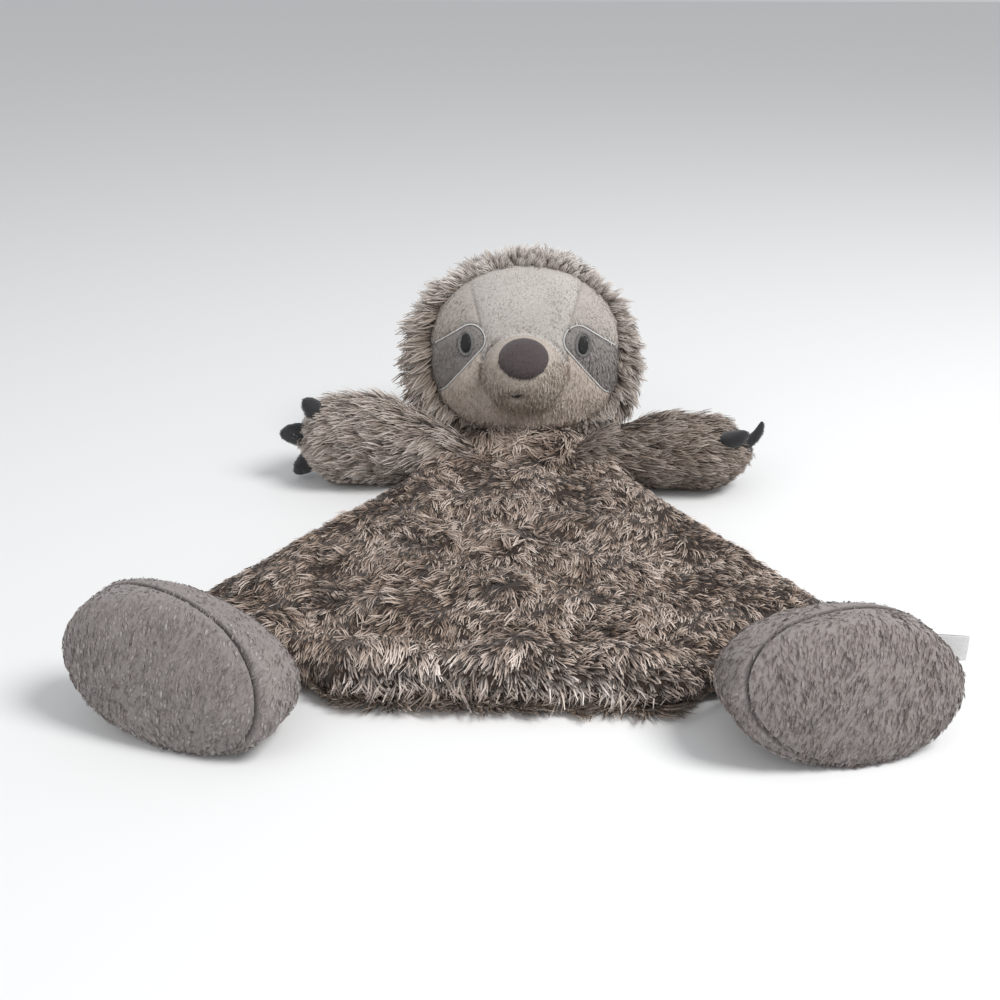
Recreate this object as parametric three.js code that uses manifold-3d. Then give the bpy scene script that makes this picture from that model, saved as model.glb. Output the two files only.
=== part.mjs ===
// A plush sloth lovey, lying on its back: a flat blanket body of two long-pile panels,
// with a stuffed head, two stuffed arms with claws and two stuffed feet sewn to its edge.
// Millimetres, +Z up. The face and the soles look towards -Y. +X is the viewer's right.

import * as THREE from 'three';
import { mergeVertices } from 'three/addons/utils/BufferGeometryUtils.js';
import Module from 'manifold-3d';

const wasm = await Module();
wasm.setup();

// Clearances and fabric
const SEAM_GAP = 0.3; // between pieces sewn edge to edge
const FILL_GAP = 0.6; // between a cover and its filling
const PLUSH = 3; // thickness of the covers of head, arms and feet
const REST_SINK = 0.8; // how far a stuffed form is pressed flat where it rests

// Blanket body, measured from the front of the hem
const PANEL = 10; // thickness of one panel with its pile, also the radius of the sewn edge
const BLANKET_LENGTH = 253; // hem to neck seam
const HEM_HALF = 70; // half of the straight hem between the feet
const NOTCH = 8; // step from the hem back to the ankle seams
const NECK_HALF = 41;
const CORNER_ROUND = 5;

// Folds of the front panel where it lies loose
const CROWN = 4; // the highest that a fold stands above the panel's thickness
const FOLD_MEAN = 0.6; // height half-way between folds and hollows
const FOLD_RISE = 1.7; // of the longest folds, each shorter kind is lower
const FOLD_LENGTH = 52; // between the longest folds
const FOLD_KINDS = 3;
const FOLD_SHORTER = 0.75; // length of each kind of fold against the one before
const FOLD_TURN = THREE.MathUtils.degToRad(70); // and the angle between the two
const HEM_ROLL = 3.6; // rise of the rolled hem
const HEM_ROLL_Y = 18.5;
const HEM_HOLLOW = 3; // dip behind the rolled hem
const HEM_HOLLOW_Y = 37.5;
const HEM_ROLL_WIDTH = 9;
const HEM_FADE = 8; // over which the roll runs out before the feet
const CHIN_GATHER = 3; // rise of the cloth gathered under the chin
const CHIN_GATHER_DEPTH = 22;

// Head
const HEAD_HALF_WIDTH = 62;
const HEAD_HALF_DEPTH = 39;
const HEAD_HALF_HEIGHT = 59;
const HEAD_BEHIND_NECK = 25;
const HEAD_TILT = THREE.MathUtils.degToRad(10);
const CHEEK_SWELL = 0.05; // how much wider the head is at its lower cheeks

// Face
const FACE_HALF_WIDTH = 53.5;
const FACE_HALF_HEIGHT = 43;
const JAW_SQUARENESS = 2.9; // power of the face's lower half, 2 would be an ellipse
const FACE_RISE = 12; // middle of the face above the middle of the head
const FACE_FORWARD = 6; // the face lies wholly in front of this plane of the head
const GUSSET_TOP_HALF = 37;
const GUSSET_WAIST_Z = 21; // up to here the gusset keeps its least width
const GUSSET_FOOT_Z = 4;
const PATCH_INNER = new THREE.Vector2(29.5, 16);
const PATCH_INNER_RADIUS = 7.8;
const PATCH_OUTER = new THREE.Vector2(52, -3);
const PATCH_OUTER_RADIUS = 12;
const PATCH_LAP = 2; // how far an eye patch is let into the forehead gusset
const EDGING_WIDTH = 2;
const EDGING_HEIGHT = 1.4;
const PUPIL = new THREE.Vector2(32.5, 13.5);
const PUPIL_HALF_WIDTH = 2.9;
const PUPIL_HALF_HEIGHT = 5.3;
const PUPIL_HEIGHT = 1.5;
const IRIS_BORDER = 1.9; // pale stitched ring round the pupil
const IRIS_HEIGHT = 1.1;
const MUZZLE_HALF_WIDTH = 23.5;
const MUZZLE_HALF_DEPTH = 21;
const MUZZLE_HALF_HEIGHT = 22;
const MUZZLE_FORWARD = 34; // middle of the muzzle in front of the middle of the head
const MUZZLE_Z = -2;
const NOSE_HALF_WIDTH = 13.8;
const NOSE_HALF_HEIGHT = 10.4;
const NOSE_Z = 8;
const NOSE_HEIGHT = 2.6;
const MOUTH_HALF_WIDTH = 5;
const MOUTH_HALF_HEIGHT = 1.1;
const MOUTH = new THREE.Vector2(-4, -12.5);
const MOUTH_HEIGHT = 1;

// Arms
const SHOULDER_X = 51;
const SHOULDER_Y = 232;
const SHOULDER_SPARE = 5; // straight seam left over below the arm's root
const ARM_LENGTH = 73;
const ARM_ROUND = 24; // length of the rounded paw
const ARM_ROOT_HALF_ACROSS = 12;
const ARM_ROOT_HALF_HIGH = 9;
const ARM_HALF_ACROSS = 20.5;
const ARM_HALF_HIGH = 23;
const ARM_SWELL_FROM = 4;
const ARM_SWELL_TO = 40;
const CLAW_RADIUS = 6.2;
const CLAW_LENGTH = 14;
const CLAW_BEND = 2.6;
const CLAW_SINK = 1.2; // how deep the claw's root sits in the paw
const CLAW_GAP = 0.8; // between a claw's root and its socket
const CLAW_FAN = THREE.MathUtils.degToRad(45);
const LEFT_PAW_ROLL = THREE.MathUtils.degToRad(75); // claws stand one above the other
const LEFT_FAN_TURN = THREE.MathUtils.degToRad(12); // towards the top of the paw
const RIGHT_PAW_ROLL = THREE.MathUtils.degToRad(-35); // claws lie side by side, the first one highest
const RIGHT_FAN_TURN = THREE.MathUtils.degToRad(-10); // towards the front of the paw

// Feet
const ANKLE_X = 117;
const ANKLE_Y = 31;
const ANKLE_OUTER = 36; // along the ankle line, from the ankle to the blanket's corner
const FOOT_TURN = THREE.MathUtils.degToRad(15); // toes turned outwards
const FOOT_LENGTH = 61; // ankle seam to the middle of the sole
const FOOT_ROUND = 11; // depth of the sole's crown
const FOOT_ROOT_HALF_ACROSS = 26;
const FOOT_ROOT_HALF_HIGH = 9;
const FOOT_HALF_ACROSS = 49;
const FOOT_HALF_HIGH = 28;
const FOOT_EGG = 0.08; // how much taller the outer side of a foot is than its middle
const FOOT_SWELL_FROM = 2;
const FOOT_SWELL_TO = 36;
const LEFT_FOOT_ROLL = THREE.MathUtils.degToRad(11); // tipped over to the viewer's right
const RIGHT_FOOT_ROLL = THREE.MathUtils.degToRad(4);
const SOLE_BORDER = 4; // how far behind the crown the sole's seam runs
const SOLE_LEAN = THREE.MathUtils.degToRad(18); // back from upright
const LEFT_SEAM_LEAN = THREE.MathUtils.degToRad(20);
const RIGHT_SEAM_LEAN = THREE.MathUtils.degToRad(27);
const SEAM_SKEW = THREE.MathUtils.degToRad(12); // of the sole's seam outwards, beyond the turn of the toes
const LABEL_THICK = 0.8;
const LABEL_HIGH = 11;
const LABEL_OUT = 9;
const LABEL_BEHIND_SEAM = 12;
const LABEL_RISE = 3; // above the middle of the foot

// Turns that the seams allow
const NECK_RANGE = [-75, 20];
const SHOULDER_RANGE = [-20, 45];
const ANKLE_RANGE = [-30, 35];

// Fineness of the round forms
const HEAD_SEGMENTS = 26;
const HEAD_RINGS = 13;
const MUZZLE_SEGMENTS = 16;
const MUZZLE_RINGS = 8;
const LIMB_SEGMENTS = 12;
const FOOT_SEGMENTS = 18;
const SWELL_STEPS = 4;
const ROUND_STEPS = 3;
const EDGE_SEGMENTS = 24;
const CURVE_SEGMENTS = 6;
const FACE_POINTS = 32;
const HALF_OUTLINE_POINTS = 38;
const RIM_STEPS = 3;
const PANEL_RINGS = 13;
const CLAW_SEGMENTS = 8;
const CLAW_STEPS = 4;
const SOCKET_RINGS = 6;
const SWEEP_STEPS = 3;
const REACH = 400; // longer than the whole lovey, for cutting tools

const COLOURS = {
  pile: 0x86776c,
  underPile: 0x75675d,
  face: 0xcac2ba,
  brow: 0xb3a99f,
  cheek: 0xb9aea3,
  patch: 0x857c76,
  edging: 0xd6d6d6,
  iris: 0xb9bcc0,
  pupil: 0x2e2d2a,
  nose: 0x5f5557,
  mouth: 0x3d332f,
  claw: 0x45454a,
  foot: 0x8c8480,
  filling: 0xf2f0ea,
  label: 0xf6f6f4,
};

function material(colour, roughness = 0.95) {
  return new THREE.MeshStandardMaterial({ color: colour, roughness, metalness: 0 });
}

// A closed geometry as a solid that can be cut.
function solidOf(geometry) {
  const bare = geometry.clone();
  bare.deleteAttribute('normal');
  bare.deleteAttribute('uv');
  const merged = mergeVertices(bare, 1e-3);
  const mesh = new wasm.Mesh({
    numProp: 3,
    vertProperties: merged.attributes.position.array,
    triVerts: new Uint32Array(merged.index.array),
  });
  return new wasm.Manifold(mesh);
}

function geometryOf(solid) {
  const mesh = solid.getMesh();
  const geometry = new THREE.BufferGeometry();
  geometry.setAttribute('position', new THREE.BufferAttribute(mesh.vertProperties, 3));
  geometry.setIndex(new THREE.BufferAttribute(mesh.triVerts, 1));
  geometry.computeVertexNormals();
  return geometry;
}

function piece(group, name, solid, colour, roughness) {
  const mesh = new THREE.Mesh(geometryOf(solid), material(colour, roughness));
  mesh.name = name;
  group.add(mesh);
}

// Rings of equal point counts joined in order, closed by a point at either end.
function loft(startPole, rings, endPole) {
  const count = rings[0].length;
  const points = [startPole, ...rings.flat(), endPole];
  const last = points.length - 1;
  const faces = [];
  for (let i = 0; i < count; i++) {
    const j = (i + 1) % count;
    faces.push(0, 1 + j, 1 + i);
    for (let r = 0; r < rings.length - 1; r++) {
      const near = 1 + r * count;
      const far = near + count;
      faces.push(near + i, near + j, far + j, near + i, far + j, far + i);
    }
    const end = 1 + (rings.length - 1) * count;
    faces.push(end + i, end + j, last);
  }
  const geometry = new THREE.BufferGeometry().setFromPoints(points);
  geometry.setIndex(faces);
  return geometry;
}

function box(low, high) {
  const size = new THREE.Vector3().subVectors(high, low);
  const middle = new THREE.Vector3().addVectors(low, high).multiplyScalar(0.5);
  return new THREE.BoxGeometry(size.x, size.y, size.z).translate(middle.x, middle.y, middle.z);
}

// Everything above a height.
function above(height) {
  const low = new THREE.Vector3(-REACH, -REACH, height);
  return solidOf(box(low, new THREE.Vector3(REACH, REACH, REACH)));
}

// An outline drawn in x and z, extruded from a plane at y towards the front.
function frontPrism(shape, y = 0) {
  const steps = { depth: REACH, bevelEnabled: false, curveSegments: CURVE_SEGMENTS };
  const geometry = new THREE.ExtrudeGeometry(shape, steps);
  return geometry.rotateX(Math.PI / 2).translate(0, y, 0);
}

function ellipse(x, z, halfWidth, halfHeight) {
  const shape = new THREE.Shape();
  shape.absellipse(x, z, halfWidth, halfHeight, 0, Math.PI * 2);
  return shape;
}

// The space that the blanket's edge takes, seen from a limb that turns about that edge.
// The limb leaves along +X, the edge runs along Y through the origin.
function edgeSweep([least, most]) {
  const rim = PANEL + SEAM_GAP;
  let sweep = solidOf(new THREE.CylinderGeometry(rim, rim, REACH, EDGE_SEGMENTS));
  const low = new THREE.Vector3(-REACH, -REACH, -rim);
  const high = new THREE.Vector3(0, REACH, rim + CROWN);
  for (let i = 0; i <= SWEEP_STEPS; i++) {
    const turn = THREE.MathUtils.degToRad(least + ((most - least) * i) / SWEEP_STEPS);
    sweep = sweep.add(solidOf(box(low, high).rotateY(turn)));
  }
  return sweep;
}

// Blanket body

// Right-hand half of the seam that joins the two panels, from the hem to the neck.
function seamCorners() {
  const slope = Math.tan(FOOT_TURN);
  const onAnkleLine = (x) => new THREE.Vector2(x, ANKLE_Y + (x - ANKLE_X) * slope);
  const shoulderHalf = ARM_ROOT_HALF_ACROSS + CORNER_ROUND;
  return [
    new THREE.Vector2(HEM_HALF, PANEL),
    onAnkleLine(HEM_HALF + NOTCH),
    onAnkleLine(ANKLE_X + ANKLE_OUTER * Math.cos(FOOT_TURN)),
    new THREE.Vector2(SHOULDER_X, SHOULDER_Y - shoulderHalf - SHOULDER_SPARE),
    new THREE.Vector2(SHOULDER_X, SHOULDER_Y + shoulderHalf),
    new THREE.Vector2(NECK_HALF, BLANKET_LENGTH),
  ];
}

// The whole seam, counter-clockwise from the middle of the hem, with its corners rounded.
function seamOutline() {
  const stops = [new THREE.Vector2(0, PANEL), ...seamCorners(), new THREE.Vector2(0, BLANKET_LENGTH)];
  const half = new THREE.Path().moveTo(stops[0].x, stops[0].y);
  for (let i = 1; i < stops.length - 1; i++) {
    const towards = (other) => {
      const way = other.clone().sub(stops[i]);
      return stops[i].clone().add(way.setLength(Math.min(CORNER_ROUND, way.length() / 2)));
    };
    const enter = towards(stops[i - 1]);
    const leave = towards(stops[i + 1]);
    half.lineTo(enter.x, enter.y);
    half.quadraticCurveTo(stops[i].x, stops[i].y, leave.x, leave.y);
  }
  half.lineTo(0, BLANKET_LENGTH);
  const right = half.getSpacedPoints(HALF_OUTLINE_POINTS);
  const left = right.slice(1, -1).map((p) => new THREE.Vector2(-p.x, p.y));
  return [...right, ...left.reverse()];
}

function outwardNormals(points) {
  return points.map((_, i) => {
    const along = points[(i + 1) % points.length].clone().sub(points.at(i - 1));
    return new THREE.Vector2(along.y, -along.x).normalize();
  });
}

// A smooth hump about a middle, one high.
const hump = (distance, width) => Math.exp(-((distance / width) ** 2));

// Height of the loose front panel above its thickness: soft folds that cross each other,
// a rolled hem with a hollow behind it, and the gathers under the chin.
function foldHeight(x, y) {
  let height = FOLD_MEAN;
  for (let kind = 0; kind < FOLD_KINDS; kind++) {
    const length = FOLD_LENGTH * FOLD_SHORTER ** kind;
    const along = x * Math.cos(kind * FOLD_TURN) + y * Math.sin(kind * FOLD_TURN);
    height += FOLD_RISE * FOLD_SHORTER ** kind * Math.cos((2 * Math.PI * along) / length + kind);
  }
  const roll = HEM_ROLL * hump(y - HEM_ROLL_Y, HEM_ROLL_WIDTH);
  const hollow = HEM_HOLLOW * hump(y - HEM_HOLLOW_Y, HEM_ROLL_WIDTH);
  const onHem = 1 - THREE.MathUtils.smoothstep(Math.abs(x), HEM_HALF - HEM_FADE, HEM_HALF + HEM_FADE);
  height += onHem * (roll - hollow);
  const aside = 1 - THREE.MathUtils.smoothstep(Math.abs(x), NECK_HALF / 2, NECK_HALF);
  height += aside * CHIN_GATHER * hump(BLANKET_LENGTH - y, CHIN_GATHER_DEPTH);
  return Math.min(height, CROWN);
}

// One panel: a round sewn edge that rises from the seam, then the panel's face.
// side is 1 for the front panel, which is crowned, and -1 for the flat back panel.
function panelSolid(side) {
  const outline = seamOutline();
  const normals = outwardNormals(outline);
  const middle = new THREE.Vector2(0, BLANKET_LENGTH / 2);
  const inner = side * (SEAM_GAP / 2);
  const rings = [];
  for (let i = 0; i <= RIM_STEPS; i++) {
    const angle = ((Math.PI / 2) * i) / RIM_STEPS;
    const z = PANEL + side * Math.max(PANEL * Math.sin(angle), SEAM_GAP / 2);
    rings.push(outline.map((p, k) => {
      const out = p.clone().addScaledVector(normals[k], PANEL * Math.cos(angle));
      return new THREE.Vector3(out.x, out.y, z);
    }));
  }
  const face = (share) => outline.map((p) => {
    const at = middle.clone().lerp(p, share);
    const inland = Math.min(1, (1 - share) * PANEL_RINGS);
    const swell = side > 0 ? inland * foldHeight(at.x, at.y) : 0;
    return new THREE.Vector3(at.x, at.y, PANEL + side * PANEL + swell);
  });
  const faceRings = side > 0 ? PANEL_RINGS : 1;
  for (let i = 1; i < faceRings; i++) rings.push(face(1 - i / faceRings));
  const [top] = face(0);
  const seamPole = new THREE.Vector3(middle.x, middle.y, PANEL + inner);
  return side > 0 ? solidOf(loft(seamPole, rings, top)) : solidOf(loft(top, rings.reverse(), seamPole));
}

function buildBlanket(parent) {
  piece(parent, 'blanket_front_panel', panelSolid(1), COLOURS.pile, 1);
  piece(parent, 'blanket_back_panel', panelSolid(-1), COLOURS.underPile, 1);
}

// Head, in a frame whose origin lies on the neck seam

const headPlace = new THREE.Matrix4()
  .makeTranslation(0, HEAD_BEHIND_NECK, HEAD_HALF_HEIGHT - PANEL - REST_SINK)
  .multiply(new THREE.Matrix4().makeRotationX(-HEAD_TILT));

const inHead = (geometry) => solidOf(geometry.applyMatrix4(headPlace));

function headForm(grow) {
  const form = new THREE.SphereGeometry(1, HEAD_SEGMENTS, HEAD_RINGS);
  const at = form.attributes.position;
  for (let i = 0; i < at.count; i++) at.setX(i, at.getX(i) * (1 - CHEEK_SWELL * at.getZ(i)));
  form.scale(HEAD_HALF_WIDTH + grow, HEAD_HALF_DEPTH + grow, HEAD_HALF_HEIGHT + grow);
  return inHead(form);
}

function muzzleForm(grow) {
  const form = new THREE.SphereGeometry(1, MUZZLE_SEGMENTS, MUZZLE_RINGS);
  form.scale(MUZZLE_HALF_WIDTH + grow, MUZZLE_HALF_DEPTH + grow, MUZZLE_HALF_HEIGHT + grow);
  return inHead(form.translate(0, -MUZZLE_FORWARD, MUZZLE_Z));
}

// The edge of the face: round above, with a wide jaw below.
function faceShape(grow) {
  const points = Array.from({ length: FACE_POINTS }, (_, i) => {
    const angle = (2 * Math.PI * i) / FACE_POINTS;
    const power = 2 / (Math.sin(angle) < 0 ? JAW_SQUARENESS : 2);
    const along = (value) => Math.sign(value) * Math.abs(value) ** power;
    const x = (FACE_HALF_WIDTH + grow) * along(Math.cos(angle));
    return new THREE.Vector2(x, FACE_RISE + (FACE_HALF_HEIGHT + grow) * along(Math.sin(angle)));
  });
  return new THREE.Shape(points);
}

const faceCut = (grow) => inHead(frontPrism(faceShape(grow), -FACE_FORWARD));

// The drop-shaped patch round an eye: two circles and the tangents between them.
function patchShape(side, grow) {
  const inner = new THREE.Vector2(side * PATCH_INNER.x, PATCH_INNER.y);
  const outer = new THREE.Vector2(side * PATCH_OUTER.x, PATCH_OUTER.y);
  const along = outer.clone().sub(inner);
  const spread = Math.acos((PATCH_INNER_RADIUS - PATCH_OUTER_RADIUS) / along.length());
  const heading = along.angle();
  const shape = new THREE.Shape();
  shape.absarc(inner.x, inner.y, PATCH_INNER_RADIUS + grow, heading + spread, heading - spread + 2 * Math.PI);
  shape.absarc(outer.x, outer.y, PATCH_OUTER_RADIUS + grow, heading - spread, heading + spread);
  shape.closePath();
  return shape;
}

const patchCut = (side, grow) => inHead(frontPrism(patchShape(side, grow)));

// The pale strip from the crown down to the muzzle.
function gussetCut(grow) {
  const top = FACE_RISE + FACE_HALF_HEIGHT + PANEL;
  const footHalf = PATCH_INNER.x - PATCH_INNER_RADIUS + PATCH_LAP;
  const shape = new THREE.Shape();
  shape.moveTo(-footHalf - grow, GUSSET_FOOT_Z - grow);
  shape.lineTo(footHalf + grow, GUSSET_FOOT_Z - grow);
  shape.lineTo(footHalf + grow, GUSSET_WAIST_Z);
  shape.lineTo(GUSSET_TOP_HALF + grow, top);
  shape.lineTo(-GUSSET_TOP_HALF - grow, top);
  shape.lineTo(-footHalf - grow, GUSSET_WAIST_Z);
  shape.closePath();
  return inHead(frontPrism(shape));
}

// Everything on one side of the face that lies above the line along the eye patch.
function browCut(side) {
  const slope = (PATCH_OUTER.y - PATCH_INNER.y) / (PATCH_OUTER.x - PATCH_INNER.x);
  const edge = 2 * FACE_HALF_WIDTH;
  const lineAt = (x) => PATCH_INNER.y + (x - PATCH_INNER.x) * slope;
  const shape = new THREE.Shape();
  shape.moveTo(0, lineAt(0));
  shape.lineTo(side * edge, lineAt(edge));
  shape.lineTo(side * edge, edge);
  shape.lineTo(0, edge);
  shape.closePath();
  return inHead(frontPrism(shape));
}

function buildHead(parent) {
  const head = new THREE.Group();
  head.position.set(0, BLANKET_LENGTH, PANEL);
  parent.add(head);

  const neckRoom = solidOf(geometryOf(edgeSweep(NECK_RANGE)).rotateZ(Math.PI / 2));
  const outside = headForm(0).intersect(above(-PANEL)).subtract(neckRoom);
  const inside = headForm(-PLUSH).intersect(above(-PANEL + PLUSH));
  const cover = outside.subtract(inside);
  const face = cover.intersect(faceCut(0));
  const filling = headForm(-PLUSH - FILL_GAP).intersect(above(-PANEL + PLUSH + FILL_GAP)).subtract(neckRoom);
  piece(head, 'head_hood', cover.subtract(faceCut(SEAM_GAP)), COLOURS.pile, 1);
  piece(head, 'head_filling', filling, COLOURS.filling);

  const patches = patchCut(1, SEAM_GAP).add(patchCut(-1, SEAM_GAP));
  const gusset = face.intersect(gussetCut(0)).subtract(patches);
  const beside = face.subtract(patches).subtract(gussetCut(SEAM_GAP));
  piece(head, 'forehead_gusset', gusset, COLOURS.face);
  piece(head, 'lower_face', beside.subtract(browCut(1)).subtract(browCut(-1)), COLOURS.cheek);

  const onMuzzle = muzzleForm(SEAM_GAP);
  const onFace = headForm(SEAM_GAP);
  const muzzle = muzzleForm(0).subtract(muzzleForm(-PLUSH)).subtract(onFace);
  piece(head, 'muzzle', muzzle, COLOURS.face);
  piece(head, 'muzzle_filling', muzzleForm(-PLUSH - FILL_GAP).subtract(onFace), COLOURS.filling);

  const cutOut = (shape, y) => inHead(frontPrism(shape, y));
  const noseCut = cutOut(ellipse(0, NOSE_Z, NOSE_HALF_WIDTH, NOSE_HALF_HEIGHT), -MUZZLE_FORWARD);
  const nose = muzzleForm(NOSE_HEIGHT).intersect(noseCut).subtract(onMuzzle).subtract(onFace);
  piece(head, 'nose', nose, COLOURS.nose, 0.85);
  const mouthCut = cutOut(ellipse(MOUTH.x, MOUTH.y, MOUTH_HALF_WIDTH, MOUTH_HALF_HEIGHT), -MUZZLE_FORWARD);
  const mouth = muzzleForm(MOUTH_HEIGHT).intersect(mouthCut).subtract(onMuzzle);
  piece(head, 'mouth_stitch', mouth, COLOURS.mouth);

  for (const [name, side] of [['left', -1], ['right', 1]]) {
    piece(head, `${name}_brow`, beside.intersect(browCut(side)), COLOURS.brow);
    piece(head, `${name}_eye_patch`, face.intersect(patchCut(side, 0)), COLOURS.patch);
    const border = patchCut(side, EDGING_WIDTH / 2).subtract(patchCut(side, -EDGING_WIDTH / 2));
    const edging = headForm(EDGING_HEIGHT).intersect(border).intersect(faceCut(-SEAM_GAP)).subtract(onFace);
    piece(head, `${name}_eye_edging`, edging.subtract(onMuzzle), COLOURS.edging, 0.55);
    const pupilShape = (grow) =>
      ellipse(side * PUPIL.x, PUPIL.y, PUPIL_HALF_WIDTH + grow, PUPIL_HALF_HEIGHT + grow);
    const iris = headForm(IRIS_HEIGHT).intersect(cutOut(pupilShape(IRIS_BORDER))).subtract(onFace);
    const pupilHole = cutOut(pupilShape(SEAM_GAP));
    const pupil = headForm(PUPIL_HEIGHT).intersect(cutOut(pupilShape(0))).subtract(onFace);
    const edgingRoom = patchCut(side, EDGING_WIDTH).subtract(patchCut(side, -EDGING_WIDTH / 2 - SEAM_GAP));
    piece(head, `${name}_eye_ring`, iris.subtract(pupilHole).subtract(edgingRoom), COLOURS.iris, 0.6);
    piece(head, `${name}_pupil`, pupil, COLOURS.pupil, 0.5);
  }
}

// Limbs, in a frame whose origin lies on the seam and whose +X runs along the limb

const ARM = {
  length: ARM_LENGTH,
  round: ARM_ROUND,
  rootAcross: ARM_ROOT_HALF_ACROSS,
  rootHigh: ARM_ROOT_HALF_HIGH,
  across: ARM_HALF_ACROSS,
  high: ARM_HALF_HIGH,
  swellFrom: ARM_SWELL_FROM,
  swellTo: ARM_SWELL_TO,
  egg: 0,
  roll: 0,
  segments: LIMB_SEGMENTS,
};

const footOn = (side) => ({
  length: FOOT_LENGTH,
  round: FOOT_ROUND,
  rootAcross: FOOT_ROOT_HALF_ACROSS,
  rootHigh: FOOT_ROOT_HALF_HIGH,
  across: FOOT_HALF_ACROSS,
  high: FOOT_HALF_HIGH,
  swellFrom: FOOT_SWELL_FROM,
  swellTo: FOOT_SWELL_TO,
  egg: side * FOOT_EGG,
  roll: side > 0 ? RIGHT_FOOT_ROLL : LEFT_FOOT_ROLL,
  seamLean: side > 0 ? RIGHT_SEAM_LEAN : LEFT_SEAM_LEAN,
  seamSkew: side * SEAM_SKEW,
  segments: FOOT_SEGMENTS,
});

// A point of a limb's section, egg-shaped and rolled, about the middle of the section.
function sectionPoint(limb, angle, across, high, swell) {
  const spread = across * Math.cos(angle);
  const rise = high * Math.sin(angle) * (1 + limb.egg * Math.cos(angle) * swell);
  const roll = limb.roll * swell;
  const y = spread * Math.cos(roll) + rise * Math.sin(roll);
  const z = rise * Math.cos(roll) - spread * Math.sin(roll);
  return new THREE.Vector2(y, z);
}

function sectionAngles(limb) {
  return Array.from({ length: limb.segments }, (_, i) => (2 * Math.PI * i) / limb.segments);
}

// Height of a limb's middle above its seam when its fullest section rests on the ground.
function middleHeight(limb) {
  const heights = sectionAngles(limb).map((angle) => sectionPoint(limb, angle, limb.across, limb.high, 1).y);
  return -Math.min(...heights) - PANEL - REST_SINK;
}

function limbRing(limb, x, shrink, grow) {
  const swell = THREE.MathUtils.smoothstep(x, limb.swellFrom, limb.swellTo);
  const across = THREE.MathUtils.lerp(limb.rootAcross, limb.across, swell) + grow;
  const high = THREE.MathUtils.lerp(limb.rootHigh, limb.high, swell) + grow;
  const lift = middleHeight(limb) * swell;
  return sectionAngles(limb).map((angle) => {
    const at = sectionPoint(limb, angle, across * shrink, high * shrink, swell);
    return new THREE.Vector3(x, at.x, lift + at.y);
  });
}

// A stuffed limb that swells from its seam and ends in a round crown.
function limbForm(limb, grow) {
  const straight = limb.length - limb.round;
  const crown = limb.round + grow;
  const rings = [];
  for (let i = 0; i <= SWELL_STEPS; i++) rings.push(limbRing(limb, (straight * i) / SWELL_STEPS, 1, grow));
  for (let i = 1; i < ROUND_STEPS; i++) {
    const angle = ((Math.PI / 2) * i) / ROUND_STEPS;
    rings.push(limbRing(limb, straight + crown * Math.sin(angle), Math.cos(angle), grow));
  }
  const root = new THREE.Vector3(0, 0, 0);
  const tip = new THREE.Vector3(straight + crown, 0, middleHeight(limb));
  return loft(root, rings, tip);
}

const limbFloor = (lift) => above(-PANEL + lift);

// Claws

function clawGeometry() {
  const profile = [];
  for (let i = 0; i <= CLAW_STEPS; i++) {
    const angle = (Math.PI / 2) * (i / CLAW_STEPS - 1);
    profile.push(new THREE.Vector2(CLAW_RADIUS * Math.cos(angle), CLAW_RADIUS * Math.sin(angle)));
  }
  for (let i = 1; i <= CLAW_STEPS; i++) {
    const share = i / CLAW_STEPS;
    profile.push(new THREE.Vector2(CLAW_RADIUS * Math.sqrt(1 - share ** 1.4), CLAW_LENGTH * share));
  }
  profile[0].x = 0;
  const claw = new THREE.LatheGeometry(profile, CLAW_SEGMENTS);
  const at = claw.attributes.position;
  for (let i = 0; i < at.count; i++) {
    const reach = Math.max(at.getY(i), 0) / CLAW_LENGTH;
    at.setZ(i, at.getZ(i) + CLAW_BEND * reach ** 2);
  }
  return claw;
}

// Place and heading of each claw's root on the paw, in the arm's frame.
function clawSeats(roll, fanTurn) {
  const across = new THREE.Vector3(0, Math.cos(roll), Math.sin(roll));
  const middle = new THREE.Vector3(ARM_LENGTH - ARM_ROUND, 0, middleHeight(ARM));
  const halfPaw = 1 / Math.hypot(Math.cos(roll) / ARM_HALF_ACROSS, Math.sin(roll) / ARM_HALF_HIGH);
  return [-1, 0, 1].map((step) => {
    const angle = fanTurn + step * CLAW_FAN;
    const heading = new THREE.Vector3(Math.cos(angle), 0, 0).addScaledVector(across, Math.sin(angle));
    const place = middle.clone();
    place.x += (ARM_ROUND - CLAW_SINK) * Math.cos(angle);
    place.addScaledVector(across, (halfPaw - CLAW_SINK) * Math.sin(angle));
    const hinge = new THREE.Vector3(-Math.sin(angle), 0, 0).addScaledVector(across, Math.cos(angle));
    return { place, heading, hinge };
  });
}

const hinges = {};

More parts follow.
